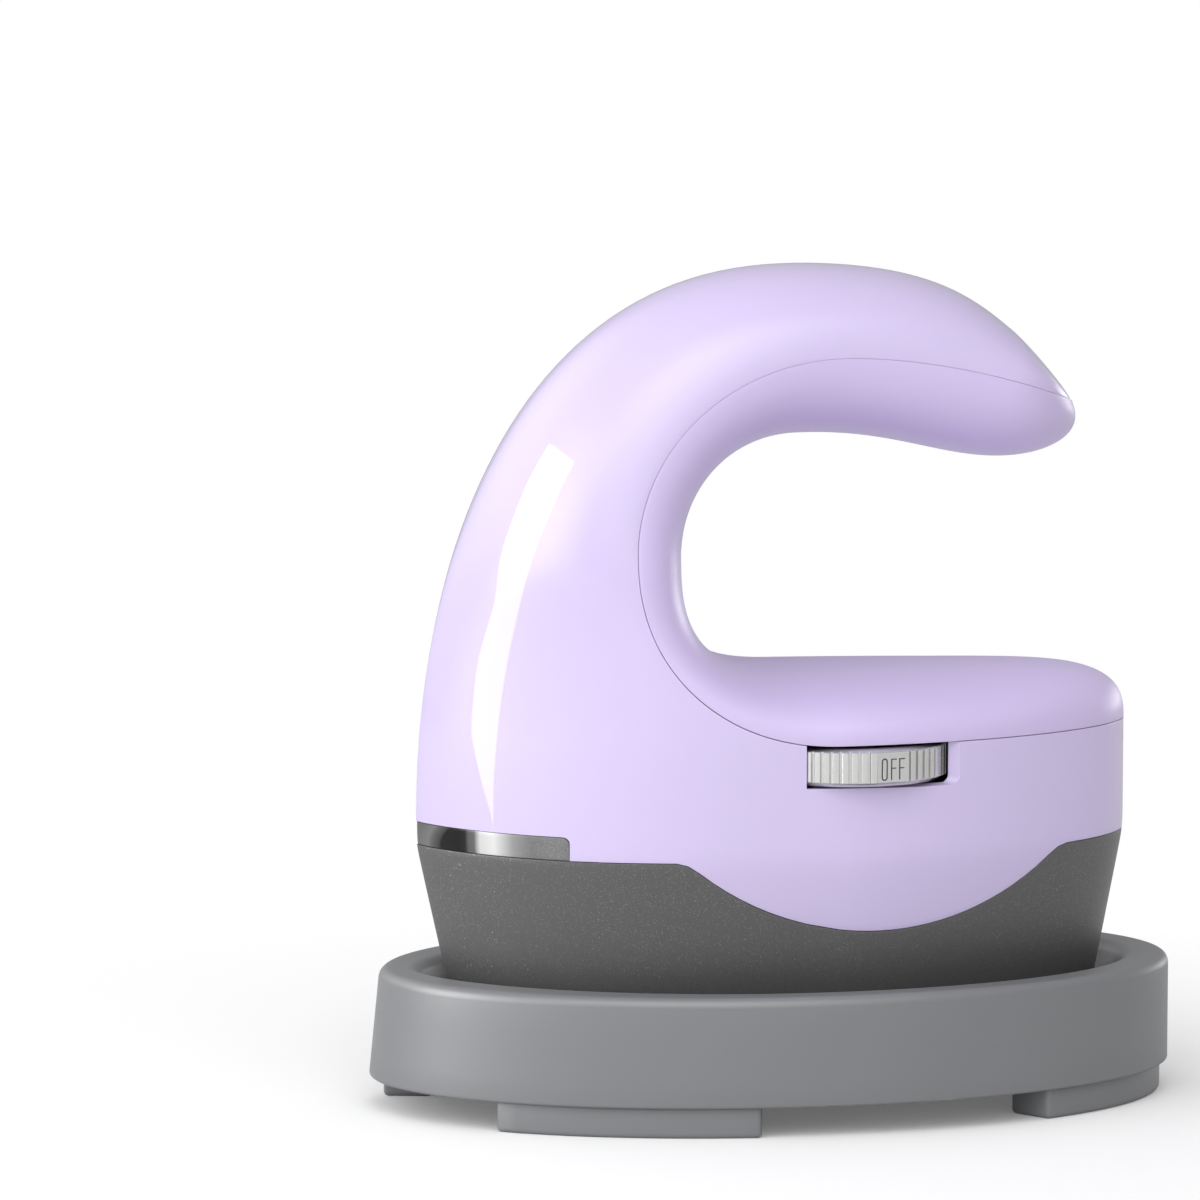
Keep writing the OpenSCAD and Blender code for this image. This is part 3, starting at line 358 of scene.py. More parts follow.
def seam_angle(st):
    """Where the seam lies on a station, as the angle from its outermost point."""
    return math.degrees(math.acos(min(1.0, st[SHARE] ** (st[FLANK] / 2))))


def arch_ring(st):
    """Section of the shell at a station, from one seam edge over the outside to the other."""
    end = seam_angle(st)
    ring = []
    for i in range(-FRONT, FRONT + 1):
        a = math.radians(end * abs(i) / FRONT)
        share = (max(0.0, math.cos(a)) ** (2 / st[FLANK]) - st[SHARE]) / (1 - st[SHARE])
        x, z = lerp(st[SEAM][0], st[OUTER][0], share), lerp(st[SEAM][1], st[OUTER][1], share)
        y = st[HALF] * math.sin(a) ** (2 * st[TIP])
        ring.append((x, math.copysign(y, i) if i else 0.0, z))
    return ring


def body_point(column, z, grow=0.0):
    """Point of the body's side at height z; columns run near belly, tip, far belly, heel."""
    g = draft_at(z) + grow
    if column <= 2 * FRONT:
        i = column - FRONT
        x, y = plan_point(90 * abs(i) / FRONT, g, -front_x(z))
        return (x, math.copysign(y, i) if i else 0.0, z)
    deg = 90 + 180 * (column - 2 * FRONT) / REAR
    x, y = plan_point(min(deg, 360 - deg), g, TIP_REACH)
    return (x, y if deg <= 180 else -y, z)


def parting(column, offset=0.0):
    """Height of the line between housing and shell on a column of the body."""
    z = PART_Z
    for _ in range(6):
        z = wave_z(body_point(column, z)[0]) + offset
    return z


def body_rows(low, high, rows, grow=0.0):
    """Rings of the body between two heights, each given per column."""
    out = []
    for r in range(rows + 1):
        out.append([body_point(c, lerp(low(c), high(c), r / rows), grow) for c in range(COLUMNS)])
    return out


def skin_faces(rings, starts, closed=True):
    """Faces between rings of points that start at the given numbers."""
    faces = []
    for a, b in zip(starts, starts[1:]):
        n = len(rings[0])
        for i in range(n if closed else n - 1):
            j = (i + 1) % n
            faces.append((a + i, a + j, b + j, b + i))
    return faces


def flip_outward(obj, inside):
    """Turns the faces of an open skin away from a point inside it."""
    def work(bm):
        bm.normal_update()
        c = Vector(inside) * MM
        total = sum(f.calc_area() * f.normal.dot(f.calc_center_median() - c) for f in bm.faces)
        if total < 0:
            bmesh.ops.reverse_faces(bm, faces=bm.faces)
    edit(obj, work)


def new_skin(name, verts, faces, inside):
    """Open skin whose faces look away from a point inside it."""
    obj = new_object(name, verts, faces)
    clean(obj, SKIN_MERGE)
    flip_outward(obj, inside)
    return obj


def side_skin(name, rows, inside):
    """Open skin from rings round the body."""
    starts = [k * COLUMNS for k in range(len(rows))]
    return new_skin(name, [p for r in rows for p in r], skin_faces(rows, starts), inside)


# ---- Shell ----
PART_GAP = 0.07   # of the shell and of the housing, each from the line between them
# Evening out: how often, from which row, and over how many rows or columns it sets in
EVEN_PASSES, EVEN_FIRST, EVEN_FADE = 16, 16, 8
SHELL_WALL = 1.5


def even_skin(verts, rings):
    """Evens the skin out up each column where arch and body meet, but not at the seam."""
    for _ in range(EVEN_PASSES):
        old = [[verts[i] for i in ring] for ring in rings]
        for k in range(EVEN_FIRST, len(rings) - ROWS["nose"]):
            for i in range(1, 2 * FRONT):
                from_seam = min(1.0, min(i, 2 * FRONT - i) / EVEN_FADE)
                share = from_seam * min(1.0, (k - EVEN_FIRST + 1) / EVEN_FADE)
                verts[rings[k][i]] = tuple(lerp(b, (a + 2 * b + c) / 4, share) for a, b, c in
                                           zip(old[k - 1][i], old[k][i], old[k + 1][i]))


def shell_skin():
    rows = body_rows(lambda c: parting(c, PART_GAP), lambda c: SEAM_Z, SIDE_ROWS)
    verts = [p for ring in rows for p in ring]
    starts = [k * COLUMNS for k in range(len(rows))]
    faces = skin_faces(rows, starts)
    # The arch starts on the front half of the last ring; the last station lies on that ring
    rings = [list(range(start, start + 2 * FRONT + 1)) for start in starts]
    for st in reversed(STATIONS[:-1]):
        start = len(verts)
        verts.extend(arch_ring(st))
        ring = list(range(start, start + 2 * FRONT + 1))
        faces.extend((rings[-1][i], rings[-1][i + 1], ring[i + 1], ring[i]) for i in range(2 * FRONT))
        rings.append(ring)
    even_skin(verts, rings)
    return verts, faces


def surface_y(x):
    """How far out the near side of the body is beside the dial, at a place along it."""
    z = SEAM_Z - 3
    lo, hi = (0.0, 90.0) if x < BELLY_X else (90.0, 180.0)
    for _ in range(30):
        mid = (lo + hi) / 2
        if plan_point(mid, draft_at(z), -front_x(z))[0] < x:
            lo = mid
        else:
            hi = mid
    return plan_point((lo + hi) / 2, draft_at(z), -front_x(z))[1]


def rounded(x0, z0, x1, z1, radii, steps=8):
    """Rounded rectangle in side view; radii of the corners (x0,z0), (x1,z0), (x1,z1), (x0,z1)."""
    corners = [(x0, z0, 180), (x1, z0, 270), (x1, z1, 0), (x0, z1, 90)]
    pts = []
    for (x, z, start), r in zip(corners, radii):
        cx = x + r if x == x0 else x - r
        cz = z + r if z == z0 else z - r
        for k in range(steps + 1):
            a = math.radians(start + 90 * k / steps)
            pts.append((cx + r * math.cos(a), cz + r * math.sin(a)))
    return pts


# Opening for the dial: how far it runs ahead of the dial's axis, behind it, under the dial, and past the
# seam, its corners, and how it is splayed: share of the run, over the last run before its far end
OPENING_AHEAD, OPENING_BEHIND, OPENING_UNDER, PAST_SEAM = 9.9, 14.4, 0.35, 2
OPENING_CORNERS = (1.1, 1.3, 0.3, 0.3)
SPLAY, SPLAY_RUN, FOOT_SPLAY, FOOT_RUN = 0.55, 3, 0.05, 7
# Room behind the opening: its clearance round the dial and under it
ROOM_CLEAR, ROOM_UNDER = 0.3, 0.33


def dial_cutter():
    """Opening for the dial, splayed at its far end and foot where the side curves away."""
    x0, x1, z0 = DIAL_X - OPENING_AHEAD, DIAL_X + OPENING_BEHIND, DIAL_Z - OPENING_UNDER
    inner = rounded(x0, z0, x1, SEAM_Z + PAST_SEAM, OPENING_CORNERS)
    face = []
    for x, z in inner:
        foot = FOOT_SPLAY * max(0.0, x - x1 + FOOT_RUN) if z < z0 + 2 else 0.0
        face.append((x + SPLAY * max(0.0, x - x1 + SPLAY_RUN), z - foot))
    out = [(x + (x - u), z + (z - w)) for (x, z), (u, w) in zip(face, inner)]
    # Rings from outside the wall inwards, by their depth under the body's side
    side_end = 25
    rings = []
    for points, depth in ((out, -1.5), (face, 0.1), (inner, 1.25), (inner, 9)):
        rings.append([(x, depth - surface_y(min(x, side_end)), z) for x, z in points])
    return loft("cutter", rings)


def dial_room():
    """Room for the dial's rim behind its opening."""
    low, high = DIAL_Z - ROOM_UNDER, SEAM_Z + PAST_SEAM
    return rod("cutter", (DIAL_X, DIAL_Y), DIAL_R + ROOM_CLEAR, low, high, round_r=0.05, steps=128)


def window_cutter(clear):
    """Room for the light window, round the front tip."""
    past = 6
    pts = rounded(-TIP_REACH - past, PART_Z - past, WINDOW_END_X + clear, PART_Z + WINDOW_H + clear,
                  (0.5, 0.5, 1.1, 0.5))
    return loft("cutter", [[(x, y, z) for x, z in pts] for y in (-BODY_W, BODY_W)])


def make_shell():
    obj = new_skin("shell_skin", *shell_skin(), inside=(-20, 0, 75))
    thicken(obj, SHELL_WALL, round_r=0.22)
    carve(obj, window_cutter(0.06))
    carve(obj, dial_cutter())
    carve(obj, dial_room())
    return smooth(obj)


# ---- Cover of the handle's inside and the deck ----
# Powers of the cover's section at the nose, on the deck and at the heel
NOSE_ROUND, DECK_BOXY, HEEL_BOXY = 2.2, 2.6, 2.4
# Groove between cover and shell on the arch and on the deck, and the rows in which it widens
GROOVE_ARCH, GROOVE_DECK, GROOVE_AFTER, GROOVE_ROWS = 0.05, 0.14, 16, 20
# Lip of the cover at the nose: length, share of it that goes sideways, and the rows in which it fades
LIP, LIP_SIDE, LIP_ROWS = 0.5, 0.4, 12
# Powers of the deck's crown towards the heel, its least height, and the rows in which its section changes
DECK_FLAT, DECK_ROUND, DECK_LEAST, HEEL_ROWS = 10, 0.42, 0.3, 12
COVER_STEPS = 32


def crown(s):
    """How far the deck rises above the seam, at a share of the way to the heel."""
    return DECK_RISE * max(0.0, 1 - s ** DECK_FLAT) ** DECK_ROUND


def cover_ring(seam, inner, half, power, gap):
    """Section of the cover from one seam edge over the middle to the other, a gap short of the seam."""
    ring = []
    short = gap / max(1.0, math.dist(seam, inner))
    seam = (lerp(seam[0], inner[0], short), lerp(seam[1], inner[1], short))
    for i in range(-COVER_STEPS, COVER_STEPS + 1):
        a = math.radians(90 * abs(i) / COVER_STEPS)
        w = max(0.0, math.cos(a)) ** (2 / power)
        y = half * math.sin(a) ** (2 / power)
        x, z = lerp(seam[0], inner[0], w), lerp(seam[1], inner[1], w)
        ring.append((x, math.copysign(y, i) if i else 0.0, z))
    return ring


def cover_skin():
    rings = []
    arch = ROWS["nose"] + ROWS["top"]
    for k, st in enumerate(STATIONS):
        half = st[HALF] * math.sin(math.radians(seam_angle(st))) ** (2 * st[TIP])
        widened = min(1.0, max(0.0, (k - arch - GROOVE_AFTER) / GROOVE_ROWS))
        boxy = min(1.0, k / arch)
        lip = LIP * max(0.0, 1 - k / LIP_ROWS)
        rings.append(cover_ring((st[SEAM][0] + lip, st[SEAM][1]), (st[INNER][0] + lip, st[INNER][1]),
                                half + LIP_SIDE * lip, lerp(NOSE_ROUND, DECK_BOXY, boxy),
                                lerp(GROOVE_ARCH, GROOVE_DECK, widened)))
    n = REAR // 2
    for k in range(1, n + 1):
        deg = 90 + 90 * k / n
        x, y = plan_point(deg, draft_at(SEAM_Z), TIP_REACH)
        s = max(0.0, -math.cos(math.radians(deg))) ** (2 / HEEL_POWER)
        top_z = SEAM_Z + max(DECK_LEAST, crown(s))
        power = lerp(DECK_BOXY, HEEL_BOXY, min(1.0, k / HEEL_ROWS))
        rings.append(cover_ring((x, SEAM_Z), (x, top_z), y, power, GROOVE_DECK))
    starts = [k * len(rings[0]) for k in range(len(rings))]
    return [p for r in rings for p in r], skin_faces(rings, starts, closed=False)


def face_deck_up(obj, ahead=10, under=75):
    """Turns the faces of the cover away from the room behind it, so that its deck faces up."""
    def work(bm):
        bm.normal_update()
        total = 0.0
        for f in bm.faces:
            c = f.calc_center_median()
            if c.x > ahead * MM and c.z < under * MM:
                total += f.calc_area() * f.normal.z
        if total < 0:
            bmesh.ops.reverse_faces(bm, faces=bm.faces)
    edit(obj, work)


def make_cover():
    obj = new_object("cover_skin", *cover_skin())
    clean(obj, SKIN_MERGE)
    face_deck_up(obj)
    thicken(obj, SHELL_WALL, round_r=0.14)
    return smooth(obj)


# ---- Housing and window ----
def make_housing():
    rows = body_rows(lambda c: HOUSING_Z, lambda c: parting(c, -PART_GAP), SIDE_ROWS)
    obj = side_skin("housing_skin", rows, (0, 0, 30))
    thicken(obj, wall=2.0, round_r=0.25)
    return smooth(obj)


def make_window():
    """Light window, sunk a little in the shell's side."""
    rows = body_rows(lambda c: PART_Z + 0.05, lambda c: PART_Z + WINDOW_H, 6, -0.12)
    obj = side_skin("window_skin", rows, (0, 0, 45))
    thicken(obj, wall=1.3, round_r=0.1)
    carve(obj, window_cutter(-0.05), "INTERSECT")
    return smooth(obj)


# ---- Heating plate ----
NECK_Z = PLATE_EDGE_Z + 5.5
POST_R, POST_Z = 4, 34.9
# Place, radius and top of each post that stands on the plate
PLATE_POSTS = [((-38, 0), POST_R, POST_Z), ((34, 11.6), POST_R, POST_Z), ((34, -11.6), POST_R, POST_Z),
               ((4, 0), POST_R, NECK_Z + 6.4), ((15, 0), 2.5, NECK_Z + 4)]


def plan_ring(grow, z, reach=TIP_REACH, steps=64):
    """Closed outline of the body, grown or shrunk, at one height."""
    near = [plan_point(90 * i / steps, grow, reach) for i in range(2 * steps + 1)]
    return ([(x, -y, z) for x, y in near] + [(x, y, z) for x, y in near[-2:0:-1]])


def make_plate():
    edge = -DRAFT - 0.5
    neck = edge - 3.2
    bevelled = [(edge - 1.2, SOLE_Z), (edge - 0.75, SOLE_Z + 0.16), (edge - 0.18, SOLE_Z + 0.8),
                (edge, SOLE_Z + 1.4), (edge, PLATE_EDGE_Z - 0.4), (edge - 0.12, PLATE_EDGE_Z - 0.1),
                (edge - 0.4, PLATE_EDGE_Z)]
    raised = [(neck, PLATE_EDGE_Z), (neck, NECK_Z - 0.3), (neck - 0.3, NECK_Z)]
    rings = [[(0, 0, SOLE_Z)]] + [plan_ring(g, z) for g, z in bevelled + raised] + [[(0, 0, NECK_Z)]]
    pieces = [loft("plate_slab", rings)]
    for place, radius, top in PLATE_POSTS:
        pieces.append(rod("post", place, radius, NECK_Z - 0.5, top))
    return smooth(join("plate", pieces))


# ---- Stand ----
OVAL_STEPS = 192
RIM_FLAT = 3            # width of the rim's rings that follow the outer wall
BURIED = 0.4            # how far legs and pads run into the tray
PAD_PLACES, PAD_W, PAD_L = (-30, 0, 30), 4, 32
LEG_IN, LEG_THICK, LEG_STEPS = 1.3, 8.0, 20
# Where each leg starts and ends, in degrees from the front tip over the near side
LEG_SPANS = ((39, 80.5), (126, 195), (223, 262), (303, 345))


def oval_ring(grow, z, point, front, heel):
    """Outline of the tray, which is more pointed at its front tip."""
    ring = []
    for k in range(OVAL_STEPS):
        a = 2 * math.pi * k / OVAL_STEPS
        c, s = math.cos(a), math.sin(a)
        power = 2 * point if c > 0 else 1
        ring.append((TRAY_X - (RECESS_L + grow) * c - front * max(0.0, c) + heel * min(0.0, c),
                     -(RECESS_W + grow) * math.copysign(abs(s) ** power, s), z))
    return ring


def fillet(x, z, r, a0, a1, steps=8):
    """Arc round a centre, between two angles, in the profile of the tray."""
    return [(x + r * math.cos(math.radians(lerp(a0, a1, k / steps))),
             z + r * math.sin(math.radians(lerp(a0, a1, k / steps)))) for k in range(steps + 1)]


def make_tray():
    """Tray from the foot of its outer wall, over the rim and down into the sloped recess."""
    outer_r, inner_r, foot_r, floor_r = 1.7, 2.6, 0.5, 1.6
    profile = [(p, TRAY_POINT) for p in fillet(RIM_W - foot_r, LEG_H + foot_r, foot_r, -90, 0, 4)]
    profile += [((RIM_W, z), TRAY_POINT) for z in (9, 13, 17)]
    profile += [(p, TRAY_POINT) for p in fillet(RIM_W - outer_r, RIM_Z - outer_r, outer_r, 0, 90)]
    for g in (RIM_W - RIM_FLAT, inner_r):
        profile.append(((g, RIM_Z), TRAY_POINT + 0.1 * (RIM_W - g) / RIM_W))
    wall_a = math.degrees(math.atan2(RECESS_DRAW, RIM_Z - FLOOR_Z))
    profile += [(p, RECESS_POINT) for p in fillet(inner_r, RIM_Z - inner_r, inner_r, 90, 180 - wall_a, 12)]
    profile += [(p, RECESS_POINT) for p in
                fillet(-RECESS_DRAW - floor_r * 0.8, FLOOR_Z + floor_r, floor_r, -wall_a, -90, 8)]
    rings = [[(TRAY_X, 0, LEG_H)]]
    for (g, z), point in profile:
        slope = max(0.0, (RIM_Z - z) / (RIM_Z - LEG_H)) if g > RIM_W - RIM_FLAT else 0.0
        heel = RECESS_HEEL if g <= inner_r and z > LEG_H + foot_r else 0.0
        rings.append(oval_ring(g, z, point, TRAY_FLARE * slope, heel))
    rings.append([(TRAY_X, 0, FLOOR_Z)])
    return loft("tray", rings)


def make_leg(start, end):
    """Arc-shaped leg under the tray's wall."""
    edge = RIM_W - LEG_IN
    outline = []
    for g, order in ((edge, range(LEG_STEPS + 1)), (edge - LEG_THICK, range(LEG_STEPS, -1, -1))):
        for i in order:
            a = math.radians(lerp(start, end, i / LEG_STEPS))
            c, s = math.cos(a), math.sin(a)
            outline.append((TRAY_X - (RECESS_L + g) * c - TRAY_FLARE * max(0.0, c), -(RECESS_W + g) * s))
    leg = loft("leg", [[(x, y, 0) for x, y in outline], [(x, y, LEG_H + BURIED) for x, y in outline]])
    bevel(leg, width=0.8, segments=4, deg=50)
    return leg


def make_stand():
    pieces = [make_tray()]
    for x in PAD_PLACES:
        pieces.append(block("pad", (x - PAD_W / 2, -PAD_L / 2, FLOOR_Z - BURIED),
                            (x + PAD_W / 2, PAD_L / 2, SOLE_Z), 0.5))
    for start, end in LEG_SPANS:
        pieces.append(make_leg(start, end))
    return smooth(join("stand_tray", pieces))


# ---- Dial ----
# Its flat panel carries the mark: the angle it faces, and half the angle it takes
RIBS, PANEL_A, PANEL_HALF, PANEL_STEPS = 62, -76.5, 10.0, 12
PANEL_R = DIAL_R * math.cos(math.radians(PANEL_HALF))
RIB_H, RIB_SOFT = 0.5, 0.07
MARK_SUNK, MARK_PROUD = -0.25, 0.012


def dial_ring(z, valley, crest):
    """Rim of the dial at one height: ribs with rounded edges, and a flat panel."""
    ring = []
    step = (360 - 2 * PANEL_HALF) / RIBS
    for k in range(RIBS):
        a = PANEL_A + PANEL_HALF + step * k
        soft = crest - RIB_SOFT if crest > valley else crest
        for share, r in ((0.03, valley), (0.26, valley), (0.31, soft), (0.38, crest), (0.92, crest),
                         (0.985, soft)):
            ring.append((r, a + share * step))
    for k in range(PANEL_STEPS + 1):
        t = lerp(-PANEL_HALF, PANEL_HALF, k / PANEL_STEPS)
        flat = crest * math.cos(math.radians(PANEL_HALF)) / math.cos(math.radians(t))
        ring.append((flat, PANEL_A + t))
    return [(DIAL_X + r * math.cos(math.radians(a)), DIAL_Y + r * math.sin(math.radians(a)), z)
            for r, a in ring]


def on_panel(u, z, out):
    """Point on the dial's flat panel: u is along it, from its middle."""
    c, s = math.cos(math.radians(PANEL_A)), math.sin(math.radians(PANEL_A))
    return (DIAL_X + (PANEL_R + out) * c - u * s, DIAL_Y + (PANEL_R + out) * s + u * c, z)


def stroke(points, width):
    """Sunk stroke of a mark on the dial's panel, along points (u, z), as the filled groove that shows."""
    closed = points[0] == points[-1]
    if closed:
        points = points[:-1]
    n = len(points)
    rings = []
    for i, p in enumerate(points):
        a = points[i - 1] if i or closed else p
        b = points[(i + 1) % n] if i < n - 1 or closed else p
        du, dz = b[0] - a[0], b[1] - a[1]
        half = width / 2 / math.hypot(du, dz)
        nu, nz = -dz * half, du * half
        rings.append([on_panel(p[0] + nu * side, p[1] + nz * side, out) for side, out in
                      ((1, MARK_SUNK), (1, MARK_PROUD), (-1, MARK_PROUD), (-1, MARK_SUNK))])
    if closed:
        rings.append(rings[0])
    return loft("stroke", rings, caps=not closed)


def make_off_mark():
    """The generic off mark, in tall narrow letters."""
    z0, z1, half, line = DIAL_Z + 1.15, DIAL_Z + 4.55, 0.44, 0.2
    mid, steps = -1.55, 24
    oval = []
    for k in range(steps):
        a = 2 * math.pi * k / steps
        c = math.cos(a)
        oval.append((mid + half * math.sin(a), (z1 - half if c >= 0 else z0 + half) + half * c))
    marks = [stroke(oval + oval[:1], line)]
    bar_z, top_z, thin = z0 + 1.85, z1 - line / 2, line * 0.8
    for u in (-0.3, 1.15):
        marks.append(stroke([(u, z0), (u, z1)], line))
        marks.append(stroke([(u + 0.05, top_z), (u + 0.95, top_z)], thin))
        marks.append(stroke([(u + 0.05, bar_z), (u + 0.8, bar_z)], thin))
    return join("off_mark", marks)


def make_dial():
    """Thumb wheel; its profile gives the height, and the radius of the ribs' valleys and crests."""
    z0, z1 = DIAL_Z, DIAL_Z + DIAL_T
    rv, r = DIAL_R - RIB_H, DIAL_R
    foot = [(z0, r - 3, r - 3), (z0, r - 1.3, r - 1.3), (z0 + 0.1, r - 1.1, r - 1.1),
            (z0 + 0.62, rv - 0.1, rv - 0.1)]
    ribs = [(z0 + 0.66, rv, r - 0.2), (z0 + 0.78, rv, r), (z1 - 0.34, rv, r), (z1 - 0.24, rv, r - 0.12)]
    top = [(z1 - 0.2, rv - 0.1, rv - 0.1), (z1 - 0.03, r - 2.1, r - 2.1), (z1, r - 2.4, r - 2.4),
           (z1, r - 4, r - 4), (z1 - 0.5, r - 4.5, r - 4.5), (z1 - 0.5, 4.4, 4.4), (z1 - 0.1, 4.0, 4.0)]
    rings = [dial_ring(*p) for p in foot + ribs + top]
    return smooth(loft("wheel", [[(DIAL_X, DIAL_Y, z0)]] + rings + [[(DIAL_X, DIAL_Y, z1 - 0.1)]]), 24)


def make_shade_liner():
    """Dark liner behind the dial's opening, painted shade for the gap round the dial, kept inside the body
    and clear of the dial's shaft.
    """
    steps, r, wall_share = 64, DIAL_R + 1.5, 0.95
    circle = [(DIAL_X + r * math.cos(2 * math.pi * k / steps), DIAL_Y + r * math.sin(2 * math.pi * k / steps))
              for k in range(steps)]
    small = [(DIAL_X + (x - DIAL_X) * wall_share, DIAL_Y + (y - DIAL_Y) * wall_share) for x, y in circle]
    low, floor, top = DIAL_Z - 1.5, DIAL_Z - 0.5, SEAM_Z - 0.1
    rings = [[(DIAL_X, DIAL_Y, low)]]
    for points, z in ((circle, low), (circle, top), (small, top), (small, floor)):
        rings.append([(x, y, z) for x, y in points])
    rings.append([(DIAL_X, DIAL_Y, floor)])
    obj = loft("shade_liner_cup", rings)
    skin_in, reach, shaft_room = -1.6, -front_x(55), 6.4
    carve(obj, loft("inside", [plan_ring(skin_in, 50, reach), plan_ring(skin_in, 65, reach)]), "INTERSECT")
    carve(obj, rod("bore", (DIAL_X, DIAL_Y), shaft_room, 50, 60, round_r=0.05))
    return smooth(obj)


# ---- Materials ----
def rgb(r, g, b):
    """Linear colour from one written as on a screen, 0 to 255."""
    def lin(v):
        v /= 255
        return v / 12.92 if v <= 0.04045 else ((v + 0.055) / 1.055) ** 2.4
    return (lin(r), lin(g), lin(b), 1.0)


def grey(v):
    return rgb(v, v, v)


class Nodes:
    """Node tree of a new material, or of the tree that is given, with short ways to add to it."""
    MIX_SHARE, MIX_A, MIX_B, MIX_OUT = 0, 6, 7, 2   # sockets of the mix node that hold colours

    def __init__(self, name="", tree=None):
        self.tree = tree
        if tree:
            return
        self.mat = bpy.data.materials.new(name)
        self.mat.use_nodes = True
        self.tree = self.mat.node_tree
        self.shader = self.tree.nodes["Principled BSDF"]
        self.coord = self.add("ShaderNodeTexCoord").outputs["Object"]

    def add(self, kind, **values):
        node = self.tree.nodes.new(kind)
        for key, value in values.items():
            if key in node.inputs:
                node.inputs[key].default_value = value
            else:
                setattr(node, key, value)
        return node

    def link(self, a, b):
        self.tree.links.new(a, b)

    def noise(self, scale, detail=3.0, rough=0.5):
        """Even random drift, 0 to 1, finer with a larger scale."""
        n = self.add("ShaderNodeTexNoise", Scale=scale, Detail=detail, Roughness=rough)
        self.link(self.coord, n.inputs["Vector"])
        return n.outputs["Fac"]

    def ramp(self, fac, stops):
        """Colour by value, through stops of place and colour."""
        n = self.add("ShaderNodeValToRGB")
        self.link(fac, n.inputs["Fac"])
        els = n.color_ramp.elements
        while len(els) < len(stops):
            els.new(0.5)
        for el, (pos, col) in zip(els, stops):
            el.position, el.color = pos, col
        return n.outputs["Color"]

    def span(self, fac, lo, hi, a=0.3, b=0.7):
        """Value moved from the range a to b into the range lo to hi, and held there."""
        n = self.add("ShaderNodeMapRange")
        for key, v in (("From Min", a), ("From Max", b), ("To Min", lo), ("To Max", hi)):
            n.inputs[key].default_value = v
        self.link(fac, n.inputs["Value"])
        return n.outputs["Result"]

    def feed(self, value, socket):
        """Links an output to the socket, or sets it to a plain value."""
        if hasattr(value, "links"):
            self.link(value, socket)
        else:
            socket.default_value = value

    def mix(self, fac, a, b):
        """Colour between a and b."""
        n = self.add("ShaderNodeMix", data_type="RGBA")
        for value, key in ((fac, self.MIX_SHARE), (a, self.MIX_A), (b, self.MIX_B)):
            self.feed(value, n.inputs[key])
        return n.outputs[self.MIX_OUT]

    def calc(self, operation, *values):
        """Result of an operation on numbers."""
        n = self.add("ShaderNodeMath", operation=operation)
        for value, socket in zip(values, n.inputs):
            self.feed(value, socket)
        return n.outputs[0]

    def vector(self, operation, a, b):
        """Result of an operation on two vectors, or with SCALE on a vector and a number."""
        n = self.add("ShaderNodeVectorMath", operation=operation)
        self.feed(a, n.inputs[0])
        self.feed(b, n.inputs["Scale" if operation == "SCALE" else 1])
        return n.outputs["Vector"]

    def bump(self, height, strength, distance):
        n = self.add("ShaderNodeBump", Strength=strength, Distance=distance)
        self.link(height, n.inputs["Height"])
        self.link(n.outputs["Normal"], self.shader.inputs["Normal"])


def shade(colour, k):
    """Colour made k times as light."""
    return (min(1.0, colour[0] * k), min(1.0, colour[1] * k), min(1.0, colour[2] * k), 1.0)


def material(name, colour, rough, metallic=0.0, vary=0.06, scale=60.0, grain=2500.0, bump=0.15, depth=2e-5,
             rough_vary=0.06, edge_highlight=None, **sockets):
    """Procedural surface: slow colour drift, a painted highlight on sharp edges, fine grain in gloss and
    relief.
    """
    n = Nodes(name)
    tone = n.mix(n.noise(scale, 4.0), shade(colour, 1 - vary), shade(colour, 1 + vary))
    # Sharp convex edges take a lighter colour: a painted highlight
    if edge_highlight:
        geo = n.add("ShaderNodeNewGeometry")
        edge = n.span(geo.outputs["Pointiness"], 0.0, 1.0, 0.53, 0.6)
        tone = n.mix(edge, tone, edge_highlight)
    n.link(tone, n.shader.inputs["Base Color"])
    fine = n.noise(grain, 3.0, 0.6)
    n.link(n.span(fine, rough - rough_vary, rough + rough_vary), n.shader.inputs["Roughness"])
    n.bump(fine, bump, depth)
    n.shader.inputs["Metallic"].default_value = metallic
    for key, value in sockets.items():
        n.shader.inputs[key.replace("_", " ")].default_value = value
    return n.mat


def fleck_material(name, colour, rough, fleck, cell, share, tilt, **sockets):
    """Moulded surface with small metallic flecks set in it, each tilted its own way."""
    n = Nodes(name)
    tone = n.mix(n.noise(45.0, 4.0), shade(colour, 0.93), shade(colour, 1.07))
    mottle = n.mix(n.noise(3200.0, 4.0, 0.7), shade(colour, 0.6), shade(colour, 1.5))
    tone = n.mix(0.7, tone, mottle)
    vor = n.add("ShaderNodeTexVoronoi", Scale=cell)
    n.link(n.coord, vor.inputs["Vector"])
    chosen = n.add("ShaderNodeSeparateColor")
    n.link(vor.outputs["Color"], chosen.inputs["Color"])
    pick = n.span(chosen.outputs["Red"], 0.0, 1.0, 1 - share, 1 - share + 0.004)
    mask = n.calc("MULTIPLY", pick, n.span(vor.outputs["Distance"], 1.0, 0.0, 0.2, 0.34))
    n.link(n.mix(mask, tone, fleck), n.shader.inputs["Base Color"])
    n.link(n.span(mask, rough, 0.25, 0.0, 1.0), n.shader.inputs["Roughness"])
    n.link(mask, n.shader.inputs["Metallic"])
    grain = n.add("ShaderNodeBump", Strength=0.5, Distance=3e-5)
    n.link(n.noise(3800.0, 3.0, 0.6), grain.inputs["Height"])
    lean = n.vector("SUBTRACT", vor.outputs["Color"], (0.5, 0.5, 0.5))
    leant = n.vector("ADD", grain.outputs["Normal"], n.vector("SCALE", lean, n.calc("MULTIPLY", mask, tilt)))
    n.link(n.vector("NORMALIZE", leant, (0, 0, 0)), n.shader.inputs["Normal"])
    for key, value in sockets.items():
        n.shader.inputs[key.replace("_", " ")].default_value = value
    return n.mat


